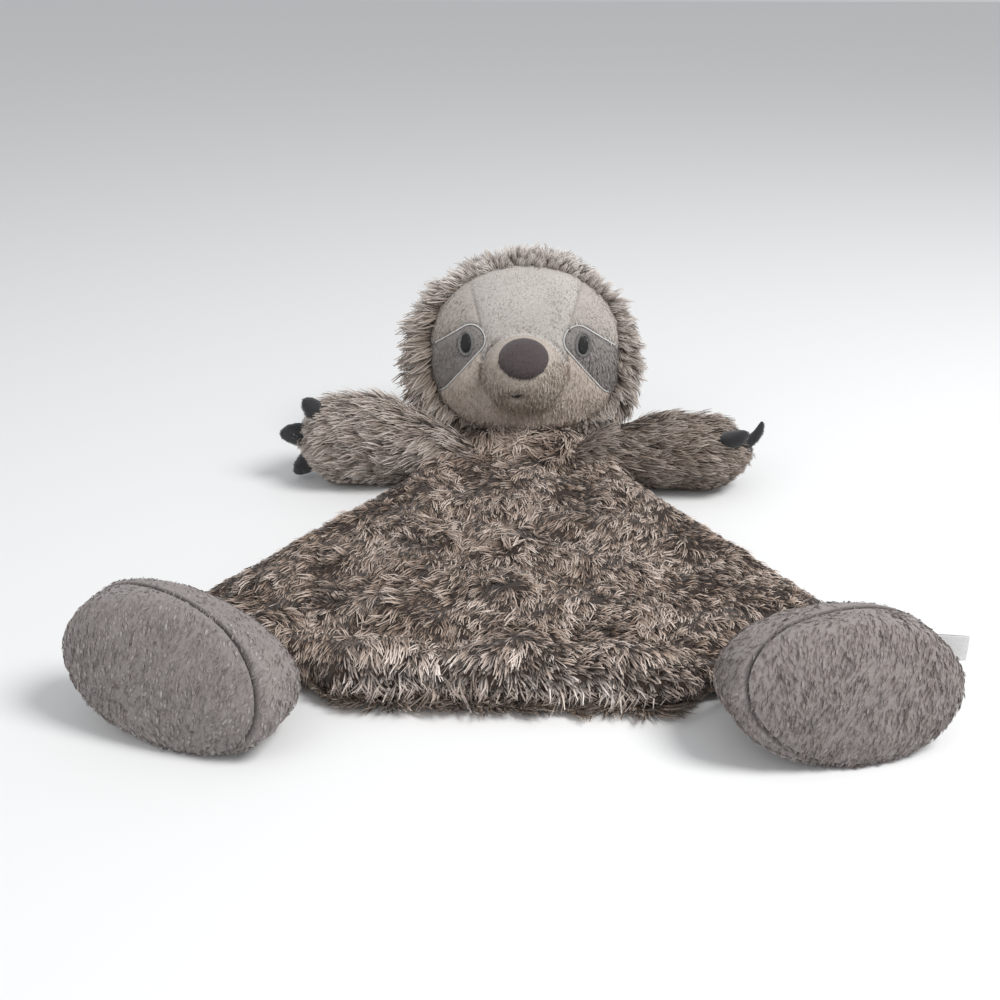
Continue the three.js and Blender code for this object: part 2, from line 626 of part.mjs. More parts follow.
// curl is 1 where the claws bend towards the front of the fan, and -1 where they bend back from it.
function buildArm(parent, name, side, roll, fanTurn, curl) {
  const arm = new THREE.Group();
  arm.position.set(side * SHOULDER_X, SHOULDER_Y, PANEL);
  arm.rotation.z = side > 0 ? 0 : Math.PI;
  parent.add(arm);
  arm.updateWorldMatrix(true, false);

  const room = edgeSweep(SHOULDER_RANGE);
  const seats = clawSeats(roll, fanTurn);
  let sockets = room;
  for (const seat of seats) {
    const socket = new THREE.SphereGeometry(CLAW_RADIUS + CLAW_GAP, CLAW_SEGMENTS, SOCKET_RINGS);
    sockets = sockets.add(solidOf(socket.translate(...seat.place.toArray())));
  }
  const form = (grow, lift) => solidOf(limbForm(ARM, grow)).intersect(limbFloor(lift));
  const cover = form(0, 0).subtract(form(-PLUSH, PLUSH)).subtract(sockets);
  const fillLift = PLUSH + FILL_GAP;
  piece(arm, `${name}_arm_cover`, cover, COLOURS.pile, 1);
  piece(arm, `${name}_arm_filling`, form(-fillLift, fillLift).subtract(sockets), COLOURS.filling);

  const kinds = ['first', 'middle', 'last'];
  seats.forEach((seat, i) => {
    const claw = clawGeometry();
    const across = seat.hinge.clone().multiplyScalar(curl);
    const bendWay = new THREE.Vector3().crossVectors(across, seat.heading);
    const turn = new THREE.Matrix4().makeBasis(across, seat.heading, bendWay);
    claw.applyMatrix4(turn.setPosition(seat.place));
    piece(arm, `${name}_${kinds[i]}_claw`, solidOf(claw), COLOURS.claw, 0.9);
    const at = arm.localToWorld(seat.place.clone());
    const axis = seat.hinge.clone().transformDirection(arm.matrixWorld);
    hinges[`${name}_${kinds[i]}_claw`] = { at, axis };
  });
  hinges[`${name}_shoulder`] = {
    at: arm.position.clone(),
    axis: new THREE.Vector3(0, -side, 0),
  };
}

// Feet

// Leans what lies past the ankle back, and skews it outwards, fully from the sole's seam on.
function leanBack(limb, geometry, lean, skew) {
  const at = geometry.attributes.position;
  const soleSeam = FOOT_LENGTH - FOOT_ROUND - SOLE_BORDER;
  for (let i = 0; i < at.count; i++) {
    const share = THREE.MathUtils.clamp(at.getX(i) / soleSeam, 0, 1);
    const rise = at.getZ(i) - middleHeight(limb);
    const shift = Math.tan(lean) * rise + Math.tan(skew) * at.getY(i);
    at.setX(i, at.getX(i) - share * shift);
  }
  return geometry;
}

function buildFoot(parent, name, side) {
  const foot = new THREE.Group();
  foot.position.set(side * ANKLE_X, ANKLE_Y, PANEL);
  foot.rotation.z = -Math.PI / 2 + side * FOOT_TURN;
  parent.add(foot);

  const limb = footOn(side);
  const room = edgeSweep(ANKLE_RANGE);
  const lean = (geometry) => leanBack(limb, geometry, SOLE_LEAN, 0);
  const form = (grow, lift) => solidOf(lean(limbForm(limb, grow))).intersect(limbFloor(lift));
  const soleSeam = FOOT_LENGTH - FOOT_ROUND - SOLE_BORDER;
  const pastSeam = (gap) => {
    const low = new THREE.Vector3(soleSeam + gap, -REACH, -REACH);
    const past = box(low, new THREE.Vector3(REACH, REACH, REACH));
    return solidOf(leanBack(limb, past, limb.seamLean, limb.seamSkew));
  };
  const cover = form(0, 0).subtract(form(-PLUSH, PLUSH)).subtract(room);
  const fillLift = PLUSH + FILL_GAP;
  piece(foot, `${name}_foot_upper`, cover.subtract(pastSeam(-SEAM_GAP)), COLOURS.foot);
  piece(foot, `${name}_sole`, cover.intersect(pastSeam(0)), COLOURS.foot);
  piece(foot, `${name}_foot_filling`, form(-fillLift, fillLift).subtract(room), COLOURS.filling);

  if (side > 0) {
    const along = soleSeam - LABEL_BEHIND_SEAM;
    const middle = middleHeight(limb) + LABEL_RISE;
    const low = new THREE.Vector3(along, 0, middle - LABEL_HIGH / 2);
    const high = new THREE.Vector3(along + LABEL_THICK, FOOT_HALF_ACROSS + LABEL_OUT, middle + LABEL_HIGH / 2);
    piece(foot, 'care_label', solidOf(box(low, high)).subtract(form(SEAM_GAP, 0)), COLOURS.label, 0.5);
  }
  hinges[`${name}_ankle`] = {
    at: foot.position.clone(),
    axis: new THREE.Vector3(-Math.cos(FOOT_TURN), -side * Math.sin(FOOT_TURN), 0),
  };
}

// The whole lovey, with its origin under the middle of the blanket

const lovey = new THREE.Group();
lovey.name = 'sloth_lovey';
buildBlanket(lovey);
buildHead(lovey);
buildArm(lovey, 'left', -1, LEFT_PAW_ROLL, LEFT_FAN_TURN, 1);
buildArm(lovey, 'right', 1, RIGHT_PAW_ROLL, RIGHT_FAN_TURN, -1);
buildFoot(lovey, 'left', -1);
buildFoot(lovey, 'right', 1);
hinges.neck = { at: new THREE.Vector3(0, BLANKET_LENGTH, PANEL), axis: new THREE.Vector3(1, 0, 0) };

lovey.position.y = -BLANKET_LENGTH / 2;
for (const hinge of Object.values(hinges)) hinge.at.add(lovey.position);
lovey.userData.hinges = hinges;

export default lovey;
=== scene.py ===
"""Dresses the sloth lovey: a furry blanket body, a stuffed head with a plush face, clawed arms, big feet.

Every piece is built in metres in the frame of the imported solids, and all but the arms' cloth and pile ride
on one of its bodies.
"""

import math

import bpy
import numpy as np
from bpy.props import FloatProperty, FloatVectorProperty, PointerProperty
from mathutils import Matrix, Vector, noise


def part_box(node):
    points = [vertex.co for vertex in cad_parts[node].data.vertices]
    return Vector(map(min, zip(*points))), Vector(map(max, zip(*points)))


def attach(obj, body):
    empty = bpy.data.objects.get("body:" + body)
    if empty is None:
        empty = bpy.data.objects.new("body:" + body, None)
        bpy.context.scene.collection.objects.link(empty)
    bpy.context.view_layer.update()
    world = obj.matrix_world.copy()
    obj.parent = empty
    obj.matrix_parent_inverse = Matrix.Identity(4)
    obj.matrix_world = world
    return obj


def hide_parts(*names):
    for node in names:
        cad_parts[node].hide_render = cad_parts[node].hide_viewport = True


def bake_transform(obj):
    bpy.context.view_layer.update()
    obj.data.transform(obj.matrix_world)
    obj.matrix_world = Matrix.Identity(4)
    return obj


bl_info = {
    "name": "Sloth lovey",
    "version": (1, 0, 0),
    "blender": (4, 5, 0),
    "location": "3D View > Sidebar > Lovey",
    "description": "Builds the cloth, pile, stitching and stage of a plush sloth lovey",
    "category": "Object",
}

NOISE_SEED = 1
noise.seed_set(NOISE_SEED)  # without it the noise vectors change from run to run
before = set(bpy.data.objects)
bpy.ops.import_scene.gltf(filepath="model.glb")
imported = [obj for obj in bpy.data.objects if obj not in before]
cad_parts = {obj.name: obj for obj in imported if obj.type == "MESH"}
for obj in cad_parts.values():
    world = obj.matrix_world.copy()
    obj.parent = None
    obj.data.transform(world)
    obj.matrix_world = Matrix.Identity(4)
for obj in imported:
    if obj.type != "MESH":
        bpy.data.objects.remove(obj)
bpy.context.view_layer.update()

MM = 0.001
SIDES = (("left", -1), ("right", 1))
UV_NAME = "OFBake"
GROUND = 0.4 * MM  # the lowest that cloth or pile lies

# Blanket, with its origin under the middle
SEAM_HEIGHT = 10 * MM
SEAM_GAP = 0.5 * MM
PANEL_RISE = 6.5 * MM  # of the cloth above the seam, without its pile
PANEL_EDGE = 9 * MM  # width of the rounded edge
PILE_INSET = 3.5 * MM  # how far the cloth's edge lies inside the pile's
HALF_LENGTH = 126.5 * MM  # from the middle to the hem and to the neck seam
HEM_HALF = 70 * MM
FOLD_MEAN = 0.6 * MM
FOLD_RISE = 1.7 * MM  # of the longest folds, each shorter kind is lower
FOLD_LENGTH = 52 * MM
FOLD_KINDS = 3
FOLD_SHORTER = 0.75  # length of each kind of fold against the one before
FOLD_TURN = math.radians(70)  # and the angle between the two
RUMPLE = 0.7 * MM  # small unevenness between the folds
HEM_ROLL = 3.6 * MM  # rise of the rolled hem
HEM_ROLL_AT = 18.5 * MM  # behind the front of the hem
HEM_HOLLOW = 3 * MM  # dip behind the rolled hem
HEM_HOLLOW_AT = 37.5 * MM
HEM_ROLL_WIDTH = 9 * MM
HEM_FADE = 8 * MM  # over which the roll runs out before the feet
CHIN_GATHER = 9 * MM  # rise of the cloth gathered under the chin
CHIN_GATHER_DEPTH = 22 * MM
CHIN_FADE = 6 * MM
NECK_HALF = 41 * MM
SHOULDER_RISE = 4 * MM  # of the cloth where an arm is sewn on
SHOULDER_REACH = 20 * MM
OUTLINE_POINTS = 260
PANEL_ROWS = 48
EDGE_ROWS = 11  # of them that the back panel's thick edge covers
EDGE_REACH = (4 * MM, 18 * MM)  # from the edge, over which the pile turns to lead across it
LIP_REACH = (3 * MM, 9 * MM)  # the lip of the hem, where the pile is short
UNDER_REACH = (5 * MM, 7.5 * MM)  # from the back panel's upright edge to its underside
FRONT_LIGHT_REACH = (12 * MM, 26 * MM)  # the front of the hem, its pile lightened there as painted light
FRINGE_LIGHT_REACH = (3 * MM, 12 * MM)  # and its fringe, which hangs in the shadow of the rolled hem and is lightened more as painted light

# Head
NECK = np.array([0, 126.5, 10]) * MM
HEAD_HALF = np.array([62, 39, 59]) * MM
HEAD_SHIFT = np.array([0, 25, 48.2]) * MM  # from the neck seam to the middle of the head
HEAD_TILT = math.radians(10)
CHEEK_SWELL = 0.05
NECK_CLEAR = 11 * MM
NECK_NOD = math.radians(20)
NECK_BACK = math.radians(75)
PANEL_TOP = 14.3 * MM
RUFF_ROLL = 2.5 * MM  # of the hood's edge round the face
HOOD_INSET = 2 * MM  # how far the hood's cloth lies inside its pile
HOOD_WALL = 1.8 * MM
HOOD_PARTS = 3  # objects that share the hood's pile
FACE_WALL = 2.2 * MM

# Face, in the plane across the head
FACE_HALF = np.array([53.5, 43]) * MM
JAW_SQUARENESS = 3.2  # power of the face's lower half, 2 would be an ellipse
FACE_RISE = 12 * MM
JAW_DROP = 45.5 * MM  # from there to the chin
MUZZLE_HALF = np.array([23.5, 21, 22]) * MM
MUZZLE_MIDDLE = np.array([0, -34, -2]) * MM
MUZZLE_BLEND = 1.0 * MM
PATCH_INNER = np.array([29.5, 16]) * MM
PATCH_OUTER = np.array([52, -3]) * MM
PATCH_RADII = (7.8 * MM, 12 * MM)
GUSSET_FOOT_Z = 4 * MM
GUSSET_WAIST = np.array([23.7, 21]) * MM  # up to here the gusset keeps its least width
GUSSET_TOP = np.array([37, 65]) * MM
NOSE_MIDDLE = np.array([0, 8]) * MM
NOSE_HALF = np.array([13.8, 10.4]) * MM
NOSE_RISE = 2.4 * MM
PUPIL_MIDDLE = np.array([32.5, 13.5]) * MM
PUPIL_HALF = np.array([2.9, 5.3]) * MM
RING_BORDER = 1.9 * MM
MOUTH = np.array([-4, -12.5]) * MM
MOUTH_HALF = 2.3 * MM
SEAM_DEPTH = 0.7 * MM
SEAM_HALF = 0.9 * MM
PANEL_PUFF = 0.6 * MM
MUZZLE_CREASE = 1.7 * MM  # depth of the seam round the muzzle
CREASE_ASIDE = (10 * MM, 19 * MM)  # it is there only at the muzzle's sides
CREASE_SIDES = (1.5, 0.9)  # its depth on the left and on the right
CREASE_AT = 0.6 * MM  # outside the muzzle's edge
CREASE_HALF = 1.4 * MM
CHIN_BLEND = (-20 * MM, -6 * MM)
CHIN_SOFT = 2.2  # how much wider the muzzle's blend is there
DIMPLE = 2.7 * MM  # how deep the mouth is drawn in
DIMPLE_HALF = (6 * MM, 2.4 * MM)
FACE_TUCK = 2.2 * MM  # of the face's edge under the hood
FACE_RIM = (0.95, 1.0)
PUFF_REACH = 6 * MM

# Limbs, in frames whose x runs out from the seam
LIMB_START = 10.6 * MM
LIMB_WAD_INSET = 2.5 * MM  # between a limb's filling and its plush
LIMB_WAD_START = 5 * MM
LIMB_WAD_LOWEST = 4.5 * MM
ARM = {
    "length": 73 * MM, "round": 24 * MM, "root": (14 * MM, 12 * MM), "half": (20.5 * MM, 23 * MM),
    "swell": (-16 * MM, 31 * MM), "egg": 0, "roll": 0, "lean": 0,
}
ARM_HEIGHT = {"left": 25 * MM, "right": 21 * MM}  # half of each arm's
ARM_TUCK = 24 * MM  # how far the root of an arm's cover is sewn over the blanket
ARM_LIFT = 9 * MM  # of that root above the seam
ARM_SINK = 9 * MM  # of its end into the blanket's pile
ARM_FREE = 12 * MM  # out from the shoulder along the arm
ARM_LEAD = np.array([0.8, -0.1, -0.15])  # way of the arms' pile
FAN_FLAT = np.array([1, 1, 0.5])  # how its fan spreads
FAN_START = 0.2  # of the arm's length
HAND = (0.66, 0.9)  # of the arm's length, over which the pile gets shorter
HAND_CROP = 0.42
BELOW_CROP = 0.6
ARM_TONE = 0.36
ARM_TONE_SIDE = 0.3  # how far the two arms differ in tone
ARM_CLOUDS = 0.25
ARM_LIFT_LOST = 0.8
FOOT = {
    "length": 61 * MM, "round": 11 * MM, "root": (26 * MM, 9 * MM), "half": (49 * MM, 28 * MM),
    "swell": (2 * MM, 36 * MM), "egg": 0.08, "roll": 0, "lean": math.radians(18),
}
FOOT_ROLL = {"left": math.radians(11), "right": math.radians(4)}
SEAM_LEAN = {"left": math.radians(20), "right": math.radians(27)}
SEAM_SKEW = math.radians(12)  # of the sole's seam outwards
FOOT_TURN = math.radians(15)
SOLE_SEAM = 46 * MM
SEAM_LEAST = SOLE_SEAM - 16 * MM
SEAM_FROM_TIP = 4 * MM
SHOULDER = np.array([51, 105.5, 10]) * MM
ANKLE = np.array([117, -95.5, 10]) * MM
REST_SINK = 0.8 * MM
PLUSH = 3 * MM
TUCK = 1.9 * MM  # how deep the sole's seam is drawn in
TUCK_WIDTH = 0.8 * MM
FOOT_INSET = 1.2 * MM  # how far the feet's cloth lies inside their plush
FOOT_COUNT = 120  # points round a foot
FOOT_RINGS = {"foot_upper": (46, 0.7), "sole": (34, 1.3)}  # and how they bunch up at the seam
ARM_COUNT = 48
ARM_INSET = 1.5 * MM
CLAW_PILE = 0.9 * MM
CLAW_PLUMP = {-1: np.array([1.05, 1.2, 1.2]), 1: np.array([1.05, 1.0, 0.85])}  # against the bare cones
CLAW_LIFT = {-1: 1.5 * MM, 1: 2.5 * MM}
WELD = 0.01 * MM
CLAW_HOOK = {"right_middle_claw": math.radians(80)}  # bend of a claw from its root to its tip
HOOK_SCALE = np.array([1.4, 0.66, 0.66])  # of that claw against the others
HOOK_SHIFT = 1.5 * MM  # of it outwards


def length(name, description, default, least=-10.0, most=10.0):
    return FloatProperty(
        name=name, description=description, default=default, min=least, max=most, unit="LENGTH")


def angle(name, description, degrees):
    return FloatProperty(
        name=name, description=description, default=math.radians(degrees), subtype="ANGLE")


def colour(name, description, default):
    return FloatVectorProperty(
        name=name, description=description, default=default, min=0, max=1, size=3, subtype="COLOR")


class LoveyPile(bpy.types.PropertyGroup):
    """Lengths and spacing of the pile."""

    body_length: length("Body pile", "Length of the locks on the blanket", 0.0070, 0.002, 0.05)
    hood_length: length("Hood pile", "Length of the locks round the face", 0.0125, 0.002, 0.05)
    arm_length: length("Arm pile", "Length of the locks on the arms", 0.0125, 0.002, 0.05)
    foot_length: length("Foot plush", "Length of the short plush of the feet", 0.0026, 0.0005, 0.01)
    face_length: length("Face plush", "Length of the short plush of the face", 0.0022, 0.0005, 0.01)
    spacing: length("Lock spacing", "Mean distance between two locks of the long pile", 0.0017, 0.001, 0.01)


class LoveyColours(bpy.types.PropertyGroup):
    """Colours of the cloths and threads, in linear values."""

    # The dark roots are partly the pile's own colour and partly painted shade deep in the pile; the backings
    # take these root colours
    pile_root: colour("Curly pile root", "Colour of the curly pile at its root", (0.022, 0.013, 0.009))
    pile_middle: colour("Curly pile middle", "Colour of the curly pile half-way up", (0.400, 0.303, 0.245))
    pile_tip: colour("Curly pile tip", "Colour of the curly pile at its tip", (0.690, 0.590, 0.515))
    arm_root: colour("Arm pile root", "Colour of the arms' pile at its root", (0.075, 0.056, 0.046))
    arm_middle: colour("Arm pile middle", "Colour of the arms' pile half-way up", (0.330, 0.270, 0.230))
    arm_tip: colour("Arm pile tip", "Colour of the arms' pile at its tip", (0.600, 0.530, 0.480))
    ruff_root: colour("Hood pile root", "Colour of the hood's pile at its root", (0.170, 0.135, 0.112))
    ruff_middle: colour("Hood pile middle", "Colour of the hood's pile half-way up", (0.370, 0.315, 0.275))
    ruff_tip: colour("Hood pile tip", "Colour of the hood's pile at its tip", (0.620, 0.560, 0.515))
    pale: colour("Pale plush", "Forehead", (0.580, 0.537, 0.502))
    # The muzzle is of the same pale plush as the forehead; its darker colour is painted shade on the muzzle's
    # sides and underside
    muzzle: colour("Muzzle plush", "Muzzle", (0.515, 0.447, 0.385))
    brow: colour("Brow plush", "Sides of the forehead", (0.510, 0.460, 0.420))
    cheek: colour("Cheek plush", "Cheeks and chin", (0.620, 0.536, 0.468))
    patch: colour("Eye patch", "Plush of the eye patches", (0.305, 0.277, 0.261))
    nose: colour("Nose", "Plush of the nose", (0.086, 0.066, 0.068))
    dark: colour("Dark thread", "Pupils and mouth", (0.018, 0.018, 0.018))
    satin: colour("Satin thread", "Edging of the eye patches", (0.700, 0.695, 0.685))
    ring: colour("Ring thread", "Ring round each pupil", (0.200, 0.195, 0.190))
    claw: colour("Claw", "Short plush of the claws", (0.042, 0.042, 0.045))
    foot: colour("Foot plush", "Short plush of the feet", (0.362, 0.319, 0.303))
    filling: colour("Filling", "Loose fibre in the stuffed pieces", (0.870, 0.850, 0.820))
    label: colour("Label", "Blank woven label", (0.900, 0.900, 0.890))
    floor: colour("Floor", "Plain floor of the stage", (0.800, 0.800, 0.795))


class LoveyStage(bpy.types.PropertyGroup):
    """Place and lens of the camera."""

    camera_height: length("Camera height", "Height above the floor", 0.300)
    camera_distance: length("Camera distance", "Distance in front of the middle of the blanket", 0.5662)
    camera_offset: length("Camera offset", "Distance to the right of the middle", 0.0157)
    camera_pitch: angle("Camera pitch", "Angle of the view below the horizon", 24.78)
    camera_turn: angle("Camera turn", "Turn of the view to the left", 2.43)
    lens: FloatProperty(name="Focal length", description="Focal length in millimetres", default=46.8)


# Node trees


class Wire:
    """An output socket. Arithmetic on it adds Math nodes to its tree."""

    def __init__(self, nodes, socket):
        self.nodes = nodes
        self.socket = socket

    def math(self, operation, first, second):
        return self.nodes.make("ShaderNodeMath", {"operation": operation}, {0: first, 1: second})

    def __add__(self, other):
        return self.math("ADD", self, other)

    def __sub__(self, other):
        return self.math("SUBTRACT", self, other)

    def __rsub__(self, other):
        return self.math("SUBTRACT", other, self)

    def __mul__(self, other):
        return self.math("MULTIPLY", self, other)

    def at_least(self, other):
        return self.math("MAXIMUM", self, other)

    def also(self, name):
        """Another output of the same node."""
        return Wire(self.nodes, self.nodes.find(self.socket.node.outputs, name))

    __radd__ = __add__
    __rmul__ = __mul__


class Nodes:
    """Adds nodes to one tree."""

    def __init__(self, tree):
        self.tree = tree

    @staticmethod
    def find(sockets, key):
        usable = [s for s in sockets if s.enabled]
        return usable[key] if isinstance(key, int) else next(s for s in usable if s.name == key)

    def make(self, kind, settings=None, inputs=None, output=0):
        """One node: its settings first, then the values or links of its sockets."""
        node = self.tree.nodes.new(kind)
        for key, value in (settings or {}).items():
            if key == "stops":
                for spare in list(node.color_ramp.elements)[2:]:
                    node.color_ramp.elements.remove(spare)
                while len(node.color_ramp.elements) < len(value):
                    node.color_ramp.elements.new(1)
                for stop, (place, tint) in zip(node.color_ramp.elements, value):
                    stop.position = place
                    stop.color = (*tint, 1)
            else:
                setattr(node, key, value)
        for key, value in (inputs or {}).items():
            socket = self.find(node.inputs, key)
            if isinstance(value, Wire):
                self.tree.links.new(value.socket, socket)
            else:
                socket.default_value = value
        usable = [s for s in node.outputs if s.enabled]
        return Wire(self, self.find(node.outputs, output)) if usable else node

    def vector(self, operation, first, second):
        key = "Scale" if operation == "SCALE" else 1
        return self.make("ShaderNodeVectorMath", {"operation": operation}, {0: first, key: second})

    def dot(self, first, second):
        return self.make("ShaderNodeVectorMath", {"operation": "DOT_PRODUCT"}, {0: first, 1: second}, "Value")

    def random(self, kind, low, high, seed):
        inputs = {"Min": low, "Max": high, "Seed": seed}
        return self.make("FunctionNodeRandomValue", {"data_type": kind}, inputs)

    def attribute(self, name, kind="FLOAT"):
        return self.make("GeometryNodeInputNamedAttribute", {"data_type": kind}, {"Name": name}, "Attribute")

    def store(self, geometry, name, value, kind="FLOAT", domain="POINT"):
        settings = {"data_type": kind, "domain": domain}
        return self.make("GeometryNodeStoreNamedAttribute", settings,
                         {"Geometry": geometry, "Name": name, "Value": value})


def new_tree(name, inputs):
    """A geometry node tree with these named inputs, and its group input as a wire."""
    tree = bpy.data.node_groups.new(name, "GeometryNodeTree")
    for socket, kind in inputs:
        tree.interface.new_socket(socket, in_out="INPUT", socket_type="NodeSocket" + kind)
    tree.interface.new_socket("Geometry", in_out="OUTPUT", socket_type="NodeSocketGeometry")
    nodes = Nodes(tree)
    return nodes, nodes.make("NodeGroupInput")


def run_tree(tree, source, name, values):
    """Runs a tree on an object and returns what it makes as a plain mesh object."""
    modifier = source.modifiers.new(name, "NODES")
    modifier.node_group = tree
    for item in tree.interface.items_tree:
        if item.in_out == "INPUT" and item.name in values:
            modifier[item.identifier] = values[item.name]
    shown = source.evaluated_get(bpy.context.evaluated_depsgraph_get())
    mesh = bpy.data.meshes.new_from_object(shown)
    source.modifiers.remove(modifier)
    mesh.name = name
    for spare in ("along", "tone", "comb", "lock", "lay", "stray", "up"):
        if spare in mesh.attributes:
            mesh.attributes.remove(mesh.attributes[spare])
    return new_object(name, mesh)


def stand_up(nodes, up, along):
    """The rotation that stands a lock or a thread this way up and turns it along its line."""
    stand = nodes.make("FunctionNodeAlignRotationToVector", {"axis": "Z"}, {"Vector": up})
    return nodes.make(
        "FunctionNodeAlignRotationToVector", {"axis": "X", "pivot_axis": "Z"},
        {"Rotation": stand, "Vector": along})


def add_chart(nodes, geometry):
    """Stores the tone and the height of each strand as its chart."""
    place = nodes.make("ShaderNodeCombineXYZ", {}, {0: nodes.attribute("tone"), 1: nodes.attribute("along")})
    return nodes.store(geometry, UV_NAME, place, "FLOAT2", "CORNER")


def end_tree(nodes, given, geometry):
    """Gives what a tree has made its material and hands it out."""
    painted = nodes.make(
        "GeometryNodeSetMaterial", {}, {"Geometry": geometry, "Material": given.also("Finish")})
    nodes.make("NodeGroupOutput", {}, {"Geometry": painted})
    return nodes.tree


LOCK_SIZES = (0.78, 1.15)  # least and most of one lock against the length asked for
LOCK_TONES = (-0.2, 0.2)  # least and most that one lock is lighter by
TUFT_SIZES = 0.35  # how far whole tufts differ in size
TUFT_TONES = 0.5  # and in tone
TUFT_STRAY = 2.0  # how far a tuft strays as one, against each lock alone
GAP_SHADE_START = 0.4  # from a tuft's middle, in the width of its cell, where the painted shade between tufts starts
KIND_DRAWS = 99  # more than the kinds of lock, the numbers wrap round
THREAD_TONES = (0.2, 0.8)
PILE_INPUTS = (
    ("Geometry", "Geometry"), ("Locks", "Collection"), ("Finish", "Material"), ("Density", "Float"),
    ("Length", "Float"), ("Lean", "Float"), ("Scatter", "Float"), ("Tufts", "Float"), ("Gather", "Float"),
    ("Stretch", "Vector"), ("Loft", "Float"), ("Groove", "Float"), ("Seed", "Int"),
)


def pile_tree():
    """Locks of pile on a skin, leaning along its comb attribute, gathered in tufts, kept above the ground."""
    nodes, given = new_tree("Pile", PILE_INPUTS)
    seed = given.also("Seed")
    points = nodes.make(
        "GeometryNodeDistributePointsOnFaces", {"distribute_method": "RANDOM"},
        {"Mesh": given.also("Geometry"), "Density": given.also("Density"), "Seed": seed}, "Points")
    normal = points.also("Normal")
    here = nodes.vector("MULTIPLY", nodes.make("GeometryNodeInputPosition"), given.also("Stretch"))
    tuft = nodes.make("ShaderNodeTexVoronoi", {}, {"Vector": here, "Scale": given.also("Tufts")}, "Color")
    own = nodes.vector("SUBTRACT", tuft, (0.5, 0.5, 0.5))
    inwards = nodes.vector("SUBTRACT", tuft.also("Position"), here)
    inwards = nodes.vector("SUBTRACT", inwards, nodes.vector("SCALE", normal, nodes.dot(inwards, normal)))
    lean = given.also("Lean") * nodes.attribute("lay")
    stray = nodes.random("FLOAT_VECTOR", (-0.5, -0.5, -0.5), (0.5, 0.5, 0.5), seed + 1)
    stray = nodes.vector("SCALE", nodes.vector("ADD", stray, nodes.vector("SCALE", own, TUFT_STRAY)),
                         given.also("Scatter") * nodes.attribute("stray"))
    drop = nodes.dot(stray, normal) * (1 - given.also("Loft"))
    stray = nodes.vector("SUBTRACT", stray, nodes.vector("SCALE", normal, drop))
    upright = nodes.vector("SCALE", normal, 1 - lean)
    along = nodes.vector("ADD", nodes.attribute("comb", "FLOAT_VECTOR"), stray)
    heading = nodes.vector("ADD", upright, nodes.vector("SCALE", along, lean))
    heading = nodes.vector("ADD", heading, nodes.vector("SCALE", inwards, given.also("Gather")))
    turned = stand_up(nodes, heading, along)
    pick = nodes.make("ShaderNodeSeparateXYZ", {}, {0: own})
    size = given.also("Length") * nodes.attribute("lock") * nodes.random("FLOAT", *LOCK_SIZES, seed + 2)
    size = size * (1 + pick * TUFT_SIZES * given.also("Loft"))
    tone = nodes.attribute("tone") + nodes.random("FLOAT", *LOCK_TONES, seed + 3)
    tone = tone + pick.also("Y") * TUFT_TONES
    # Painted shade: a lock is darker the further it stands from its tuft's middle, for the gaps between tufts
    tone = tone - (tuft.also("Distance") - GAP_SHADE_START).at_least(0.0) * given.also("Groove")
    toned = nodes.store(points, "tone", tone)
    kinds = nodes.make(
        "GeometryNodeCollectionInfo", {},
        {"Collection": given.also("Locks"), "Separate Children": True, "Reset Children": True})
    placed = nodes.make("GeometryNodeInstanceOnPoints", {}, {
        "Points": toned, "Instance": kinds, "Pick Instance": True,
        "Instance Index": nodes.random("INT", 0, KIND_DRAWS, seed + 4), "Rotation": turned, "Scale": size})
    locks = nodes.make("GeometryNodeRealizeInstances", {}, {"Geometry": placed})
    charted = add_chart(nodes, locks)
    place = nodes.make("ShaderNodeSeparateXYZ", {}, {0: nodes.make("GeometryNodeInputPosition")})
    lifted = nodes.make(
        "ShaderNodeCombineXYZ", {}, {0: place, 1: place.also("Y"), 2: place.also("Z").at_least(GROUND)})
    kept = nodes.make("GeometryNodeSetPosition", {}, {"Geometry": charted, "Position": lifted})
    return end_tree(nodes, given, kept)


STITCH_INPUTS = (
    ("Geometry", "Geometry"), ("Thread", "Object"), ("Finish", "Material"), ("Step", "Float"),
    ("Size", "Vector"), ("Seed", "Int"),
)


def stitch_tree():
    """Threads laid side by side across a line of edges, standing on its up attribute."""
    nodes, given = new_tree("Stitches", STITCH_INPUTS)
    line = nodes.make("GeometryNodeMeshToCurve", {}, {"Mesh": given.also("Geometry")})
    points = nodes.make(
        "GeometryNodeCurveToPoints", {"mode": "LENGTH"},
        {"Curve": line, "Length": given.also("Step")}, "Points")
    turned = stand_up(nodes, nodes.attribute("up", "FLOAT_VECTOR"), points.also("Tangent"))
    toned = nodes.store(points, "tone", nodes.random("FLOAT", *THREAD_TONES, given.also("Seed")))
    thread = nodes.make("GeometryNodeObjectInfo", {}, {"Object": given.also("Thread")}, "Geometry")
    placed = nodes.make("GeometryNodeInstanceOnPoints", {}, {
        "Points": toned, "Instance": thread, "Rotation": turned, "Scale": given.also("Size")})
    threads = nodes.make("GeometryNodeRealizeInstances", {}, {"Geometry": placed})
    return end_tree(nodes, given, add_chart(nodes, threads))


# Finishes

SPECULAR = 0.25
SHEEN_ROUGHNESS = 0.5
CLOTH_ROUGHNESS = 0.92
CLOTH_BUMP = 0.6 * MM
CLOUDS = 45.0  # of the cloth's mottling, to the metre
CLOUD_SHADE = 0.3  # how far the mottling changes the cloth's brightness
NAP_SHADE = 0.55  # and how far its nap does
CLOTH_SHADE = 0.97
SEAM_GROOVE_SHADE = 0.8  # how far the painted shade in a seam's groove darkens the cloth
THREAD_END_SHADE = 0.8  # brightness of a thread where it goes into the cloth, painted shade
PLUSH_MIDDLE = 0.97  # brightness of the short plush half-way up
PLUSH_TIP = 1.06


